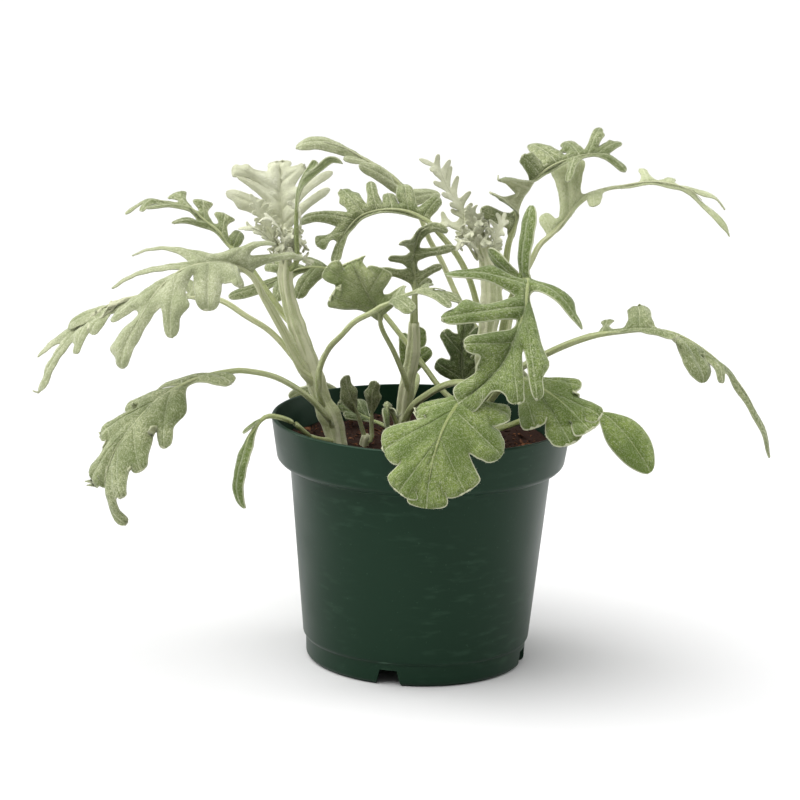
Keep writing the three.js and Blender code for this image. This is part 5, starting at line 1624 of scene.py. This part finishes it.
def grown(shape, node, looks, material, seed):
    """The shape as a piece with felt hairs over it, in place of the solid."""
    name = piece_name(node)
    obj = linked(shape.mesh(name), name)
    run_tree(obj, shared_group("Felt Hairs", hair_tree), {
        "Density": looks.hairs, "Margin Density": looks.margin_hairs, "Length": looks.hair_length,
        "Thickness": 0.035 * MM, "Seed": seed, "Material": material,
    })
    settle(obj, node)


class DUSTY_OT_pot(bpy.types.Operator):
    """Add the moulded nursery pot"""

    bl_idname = "dusty_miller.pot"
    bl_label = "Pot"

    def execute(self, context):
        low = POT_HEIGHT - BAND_HEIGHT
        inner, outer, height = CHANNEL_INNER, CHANNEL_OUTER, CHANNEL_HEIGHT
        profile = rounded_profile([
            (0, 0, 0), (inner, 0, 0.5), (inner + 1, height, 0.5), (outer, height, 0.5),
            (outer, 0, 0.4), (FOOT_RADIUS - FOOT_ROUND, 0, 0.6), (FOOT_RADIUS, FOOT_ROUND, 0.8),
            (FOOT_TOP_RADIUS, FOOT_HEIGHT, 0.4), (WALL_LOW_RADIUS, FOOT_HEIGHT + FOOT_STEP, 0.8),
            (BODY_TOP_RADIUS, low - 1, 0.8), (BAND_LOW_RADIUS - BAND_STEP, low, 0.8),
            (BAND_LOW_RADIUS, low + BAND_STEP, 0.9), (RIM_RADIUS, POT_HEIGHT - RIM_ROUND, 0.4),
            (RIM_RADIUS - RIM_ROUND, POT_HEIGHT, 0.3), (RIM_RADIUS - WALL, POT_HEIGHT, 0.4),
            (BAND_LOW_RADIUS - WALL, low + BAND_STEP + 1, 1.0), (BODY_TOP_RADIUS - WALL, low - 1, 0.8),
            (WALL_LOW_RADIUS - WALL, FLOOR_TOP + FLOOR_CORNER, 0.8),
            (FOOT_TOP_RADIUS - WALL, FLOOR_TOP, 0.5), (0, FLOOR_TOP, 0),
        ])
        points, faces = revolved(profile, POT_SEGMENTS)
        obj = linked(plain_mesh("nursery_pot", points, faces), "nursery_pot")
        cutters = [self.notch(i) for i in range(NOTCH_COUNT)]
        for cutter in cutters:
            cut = obj.modifiers.new("Notch", "BOOLEAN")
            cut.operation = "DIFFERENCE"
            cut.solver = "EXACT"
            cut.object = cutter
        apply_modifiers(obj)
        for cutter in cutters:
            bpy.data.objects.remove(cutter)
        obj.data.shade_smooth()
        obj.data.set_sharp_from_angle(angle=math.radians(CREASE_ANGLE))
        obj.data.materials.clear()
        obj.data.materials.append(self.plastic(context.scene.dusty_pot))
        settle(obj, "pot")
        return {"FINISHED"}

    def notch(self, index):
        """A wedge across the foot of the wall, its narrow side up."""
        inside, outside = FOOT_RADIUS - NOTCH_REACH, FOOT_RADIUS + NOTCH_REACH
        points = []
        for reach in (inside, outside):
            for across, up in ((-NOTCH_BOTTOM, -1), (NOTCH_BOTTOM, -1), (NOTCH_TOP, NOTCH_HEIGHT),
                               (-NOTCH_TOP, NOTCH_HEIGHT)):
                points.append(Vector((across / 2, -reach, up)))
        turn = Matrix.Rotation(math.radians(NOTCH_TURN + index * 360 / NOTCH_COUNT), 3, "Z")
        points = [tuple(turn @ point) for point in points]
        faces = [(3, 2, 1, 0), (4, 5, 6, 7), (0, 1, 5, 4), (1, 2, 6, 5), (2, 3, 7, 6), (3, 0, 4, 7)]
        return linked(plain_mesh("notch", points, faces), "notch")

    def plastic(self, settings):
        """Dark green plastic, rubbed pale in streaks and specks, with painted highlights on its edges.
        """
        material, nodes, shader = principled("green_plastic")
        place = nodes.place()
        low = nodes.noise(place, 26.0, 3.0)
        specks = nodes.noise(place, 950.0, 1.0)
        grain = nodes.noise(place, 1500.0, 2.0)
        rubbed = nodes.stretched_noise(place, (110, 110, 420), 4.0)
        dusty = nodes.maths("MULTIPLY", nodes.fade(rubbed, 0.5, 0.78), nodes.fade(low, 0.42, 0.62))
        wear_and_edge_highlight = nodes.maths("MULTIPLY", dusty, 0.16)
        wear_and_edge_highlight = nodes.maths("ADD", wear_and_edge_highlight, nodes.fade(specks, 0.72, 0.8, 0, 0.22))
        # Painted highlight: the plastic is painted paler along its sharp edges, where light catches
        # them.
        edge = nodes.add("ShaderNodeNewGeometry").outputs["Pointiness"]
        wear_and_edge_highlight = nodes.maths("ADD", wear_and_edge_highlight, nodes.fade(edge, 0.52, 0.62, 0, 0.45))
        colour = nodes.mix(wear_and_edge_highlight, tuple(settings.plastic), tuple(settings.wear_and_edge_highlight))
        nodes.finish(shader, colour, grain, 0.1, 0.1 * MM)
        nodes.link(nodes.fade(low, 0.3, 0.7, 0.34, 0.46), shader.inputs["Roughness"])
        shader.inputs["Specular IOR Level"].default_value = 0.24
        shader.inputs["Specular Tint"].default_value = (0.72, 1.0, 0.78, 1)
        return material


class DUSTY_OT_soil(bpy.types.Operator):
    """Add the soil with its bark chips and crumbs"""

    bl_idname = "dusty_miller.soil"
    bl_label = "Soil"

    def execute(self, context):
        settings = context.scene.dusty_soil
        low = POT_HEIGHT - BAND_HEIGHT
        slope = (RIM_RADIUS - BAND_LOW_RADIUS) / BAND_HEIGHT
        wall = BAND_LOW_RADIUS + slope * (SOIL_TOP - low) - WALL
        profile = [
            (0, FLOOR_TOP + SOIL_GAP), (FOOT_TOP_RADIUS - WALL - SOIL_STEP_GAP, FLOOR_TOP + SOIL_GAP),
            (WALL_LOW_RADIUS - WALL - SOIL_BODY_GAP, FLOOR_TOP + FLOOR_CORNER + SOIL_GAP),
            (BODY_TOP_RADIUS - WALL - SOIL_BODY_GAP, low - 1),
            (BAND_LOW_RADIUS - WALL - SOIL_STEP_GAP, low + 3),
        ]
        for part in (0, 0.5, 1):
            profile.append((wall - SOIL_GAP - SOIL_STEP_GAP * (1 - part), SOIL_TOP - 2 + 2 * part))
        profile += [(r, SOIL_TOP) for r in np.linspace(wall - 1.2, 0, SOIL_RINGS)]
        points, faces = revolved(profile, SOIL_SEGMENTS, self.raised)
        mesh = plain_mesh("soil_surface", points, faces)
        mesh.shade_smooth()
        obj = linked(mesh, "potting_soil")
        shared = {"Radius": (wall - 3) * MM, "Smallest": 0.5, "Material": self.bark(settings)}
        chips = self.broken("chips", CHIP_SIZES, CHIP_SEED)
        self.strew(obj, chips, {**shared, "Density": settings.chips, "Largest": 1.2,
                                "Seed": settings.seed})
        crumbs = self.broken("crumbs", CRUMB_SIZES * CRUMB_COPIES, CRUMB_SEED)
        self.strew(obj, crumbs, {**shared, "Density": settings.crumbs, "Largest": 1.5,
                                 "Seed": settings.seed + 1})
        settle(obj, "soil")
        return {"FINISHED"}

    def strew(self, obj, pieces, values):
        """The broken pieces laid over the soil and joined to it."""
        run_tree(obj, shared_group("Bark Mulch", mulch_tree), {**values, "Pieces": pieces})
        for piece in list(pieces.objects):
            bpy.data.objects.remove(piece)
        bpy.data.collections.remove(pieces)

    def raised(self, x, y, z):
        """The soil's top heaved into a shallow hump and small lumps."""
        if z < SOIL_TOP - 0.5:
            return (x, y, z)
        heave = SOIL_HUMP * math.sin(0.17 * x + 0.9) * math.cos(0.21 * y)
        lumps = 0.5 * math.sin(0.9 * x + 1.7 * y) * math.sin(1.1 * y - 0.6 * x + 2)
        lumps += 0.3 * math.sin(2.3 * x - 1.1 * y) * math.cos(1.9 * y + 0.8 * x)
        return (x, y, z + heave + lumps)

    def broken(self, name, sizes, seed):
        """A collection of broken pieces: the angular hull of a few points in each of these sizes."""
        collection = bpy.data.collections.new(name)
        draw = np.random.default_rng(seed)
        for i, size in enumerate(sizes):
            work = bmesh.new()
            for point in unit(draw.normal(size=(11, 3))) * draw.uniform(0.75, 1.0, (11, 1)):
                work.verts.new(point * np.array(size) / 2 * MM)
            hull = bmesh.ops.convex_hull(work, input=work.verts)
            loose = {v for v in hull["geom_interior"] if isinstance(v, bmesh.types.BMVert)}
            bmesh.ops.delete(work, geom=list(loose), context="VERTS")
            bmesh.ops.recalc_face_normals(work, faces=work.faces)
            mesh = bpy.data.meshes.new(f"{name}_{i}")
            work.to_mesh(mesh)
            work.free()
            collection.objects.link(bpy.data.objects.new(f"{name}_{i}", mesh))
        return collection

    def bark(self, settings):
        """Peat and bark, each piece paler or darker by its own tone."""
        material, nodes, shader = principled("peat_and_bark")
        place = nodes.place()
        tone = nodes.attribute("tone")
        grain = nodes.noise(place, 900.0, 4.0)
        blotches = nodes.noise(place, 260.0, 3.0)
        pale = nodes.fade(tone, 0.35, 1.0, 0, 0.8)
        pale = nodes.maths("MULTIPLY", pale, nodes.fade(blotches, 0.3, 0.65, 0.3, 1.0))
        colour = nodes.mix(pale, tuple(settings.peat), tuple(settings.bark))
        colour = nodes.mix(nodes.fade(grain, 0.45, 0.7, 0, 0.5), colour, linear(30, 19, 15))
        nodes.finish(shader, colour, grain, 0.6, 0.4 * MM)
        shader.inputs["Roughness"].default_value = 0.9
        shader.inputs["Specular IOR Level"].default_value = 0.15
        return material


class DUSTY_OT_stems(bpy.types.Operator):
    """Add the stems with the young leaves of their growing tips"""

    bl_idname = "dusty_miller.stems"
    bl_label = "Stems"

    def execute(self, context):
        looks = context.scene.dusty_foliage
        material = leaf_material("woolly_stem", looks, SHADES["silver"])
        for number, stem in enumerate(STEMS):
            shape = Shape()
            self.add_stem(shape, stem)
            for i, young in enumerate(stem["young"]):
                leaf = {**YOUNG, **young, **YOUNG_FORM, "pairs": young["pairs"] + MORE_PAIRS}
                add_leaf(shape, leaf, YOUNG_DETAIL, YOUNG_THICKNESS, YOUNG_RELIEF,
                         seed=100 * number + i, sides=8)
            if stem["young"]:
                self.add_buds(shape, stem["points"][-1])
            grown(shape, stem["name"], looks, material, 50 + number)
        return {"FINISHED"}

    def add_buds(self, shape, top):
        """The smallest leaves of a growing tip, in a spiral, curling over at their ends."""
        for i in range(BUDS):
            size = 0.85 + 0.05 * i
            lift = 1.7 - 0.07 * i
            outward = np.array([math.cos(BUD_TURN * i), math.sin(BUD_TURN * i), 0])
            base = np.array(top, float) - (0, 0, BUD_DROP * i)
            spine = [base + size * (out * outward + (0, 0, lift * up)) for out, up in BUD_RISE]
            face = (0.3 * outward[0], 0.3 * outward[1], 1)
            bud = {**YOUNG, **BUD_FORM, "spine": spine, "face": face, "reach": 2.5 * size}
            add_leaf(shape, bud, YOUNG_DETAIL, YOUNG_THICKNESS, BUD_RELIEF, seed=900 + i, sides=6)

    def add_stem(self, shape, stem):
        """A ribbed stem that swells a little where each leaf leaves it."""
        x, y, z = stem["points"][0]
        points = [[x, y, z - ROOT_DEPTH]] + stem["points"]
        route = Route(points)
        steps = max(6, round(route.length / STEM_STEP))
        places = np.linspace(0, 1, steps + 1)
        radii = np.interp(places, route.knots, [stem["radii"][0] * 0.7] + stem["radii"])
        for leaf in LEAVES:
            root = np.array(leaf.get("root", leaf["spine"][0]), float)
            away = np.linalg.norm(route.point(places) - root, axis=1)
            if away.min() < SWELLING_REACH:
                radii = radii * (1 + SWELLING * near(away, SWELLING_RUN))
        radii = radii * (1 + 0.03 * np.sin(places * route.length * 0.9))
        turns = np.linspace(0, 2 * math.pi, STEM_SIDES, endpoint=False)
        section = 1 + 0.1 * np.cos(5 * turns) + 0.05 * np.cos(9 * turns + 1)
        ups = np.broadcast_to(np.array([0.2, 1.0, 0.1]), (steps + 1, 3))
        add_tube(shape, route, places, radii, ups, section, margin=FAR, vein=FAR, upper=0.5,
                 stalk=1.0)


class DUSTY_OT_leaves(bpy.types.Operator):
    """Add the felted, lobed leaves on their stalks"""

    bl_idname = "dusty_miller.leaves"
    bl_label = "Leaves"

    def execute(self, context):
        looks = context.scene.dusty_foliage
        materials = {
            name: leaf_material(f"{name}_felt", looks, shade) for name, shade in SHADES.items()
        }
        for number, leaf in enumerate(LEAVES):
            shape = Shape()
            add_leaf(shape, leaf, LEAF_DETAIL, looks.blade / MM, looks.relief / MM, seed=number)
            node, shade = leaf["name"], leaf["shade"]
            material = materials[shade]
            if node in TONES:
                lighter = toned(SHADES[shade], TONES[node])
                material = leaf_material(f"{piece_name(node)}_felt", looks, lighter)
            grown(shape, node, looks, material, number)
        return {"FINISHED"}


class DUSTY_OT_stage(bpy.types.Operator):
    """Add the pale floor, the soft studio lights and the camera"""

    bl_idname = "dusty_miller.stage"
    bl_label = "Stage"

    def execute(self, context):
        settings = context.scene.dusty_stage
        work = bmesh.new()
        bmesh.ops.create_grid(work, x_segments=8, y_segments=8, size=FLOOR_HALF_WIDTH)
        mesh = bpy.data.meshes.new("studio_floor")
        work.to_mesh(mesh)
        work.free()
        floor = linked(mesh, "studio_floor")
        material, nodes, shader = principled("studio_floor")
        tint = nodes.fade(nodes.noise(nodes.place(), 30.0), 0.3, 0.7, 0, 0.04)
        colour = nodes.mix(tint, tuple(settings.floor), (0.63, 0.63, 0.63, 1))
        nodes.link(colour, shader.inputs["Base Color"])
        shader.inputs["Roughness"].default_value = 0.85
        shader.inputs["Specular IOR Level"].default_value = 0.1
        mesh.materials.append(material)

        world = bpy.data.worlds.new("white_studio")
        world.use_nodes = True
        background = world.node_tree.nodes["Background"].inputs
        background["Color"].default_value = (1, 1, 1, 1)
        background["Strength"].default_value = SKY_STRENGTH
        context.scene.world = world
        self.light("overhead", "SUN", OVERHEAD_SOURCE, angle=math.radians(OVERHEAD_ANGLE),
                   energy=OVERHEAD_STRENGTH)
        for name, side in (("left", -1), ("right", 1)):
            place = Vector(SOFTBOX_PLACE) * Vector((side, 1, 1))
            softbox = self.light(name, "AREA", place - Vector((0, 0, SOFTBOX_AIM)),
                                 size=SOFTBOX_SIZE, energy=SOFTBOX_POWER)
            softbox.location = place
        self.camera(context, settings)
        context.scene.view_settings.view_transform = "Standard"
        return {"FINISHED"}

    def light(self, name, kind, source, **settings):
        """A soft light that shines from the direction of its source."""
        light = bpy.data.lights.new(name, kind)
        for setting, value in settings.items():
            setattr(light, setting, value)
        obj = linked(light, name)
        obj.rotation_euler = Vector(source).to_track_quat("Z", "Y").to_euler()
        return obj

    def camera(self, context, settings):
        """The camera in front of the pot, looking a little down and leaning to one side."""
        lens = bpy.data.cameras.new("camera")
        lens.lens = settings.lens
        lens.sensor_width = 36
        lens.clip_start = 0.05
        lens.clip_end = 30
        camera = linked(lens, "camera")
        camera.location = CAMERA_PLACE
        down = Matrix.Rotation(math.radians(90 - CAMERA_DROP), 4, "X")
        roll = Matrix.Rotation(math.radians(CAMERA_ROLL), 4, "Z")
        camera.rotation_euler = (down @ roll).to_euler()
        context.scene.camera = camera


class DUSTY_PT_panel(bpy.types.Panel):
    """The pieces of the plant, its pot and its stage"""

    bl_label = "Dusty Miller"
    bl_idname = "DUSTY_PT_panel"
    bl_space_type = "VIEW_3D"
    bl_region_type = "UI"
    bl_category = "Dusty Miller"

    def draw(self, context):
        for settings in (context.scene.dusty_pot, context.scene.dusty_soil,
                         context.scene.dusty_foliage, context.scene.dusty_stage):
            box = self.layout.box()
            for name in settings.__annotations__:
                box.prop(settings, name)
        for piece in PIECES:
            self.layout.operator(f"dusty_miller.{piece}")


PIECES = ("pot", "soil", "stems", "leaves", "stage")
SETTINGS = {
    "dusty_pot": PotSettings,
    "dusty_soil": SoilSettings,
    "dusty_foliage": FoliageSettings,
    "dusty_stage": StageSettings,
}
CLASSES = (
    *SETTINGS.values(), DUSTY_OT_pot, DUSTY_OT_soil, DUSTY_OT_stems, DUSTY_OT_leaves,
    DUSTY_OT_stage, DUSTY_PT_panel,
)


def register():
    for cls in CLASSES:
        bpy.utils.register_class(cls)
    for name, settings in SETTINGS.items():
        setattr(bpy.types.Scene, name, PointerProperty(type=settings))


def unregister():
    for name in SETTINGS:
        delattr(bpy.types.Scene, name)
    for cls in reversed(CLASSES):
        bpy.utils.unregister_class(cls)


def main():
    register()
    for piece in PIECES:
        getattr(bpy.ops.dusty_miller, piece)()


if __name__ == "__main__":
    main()
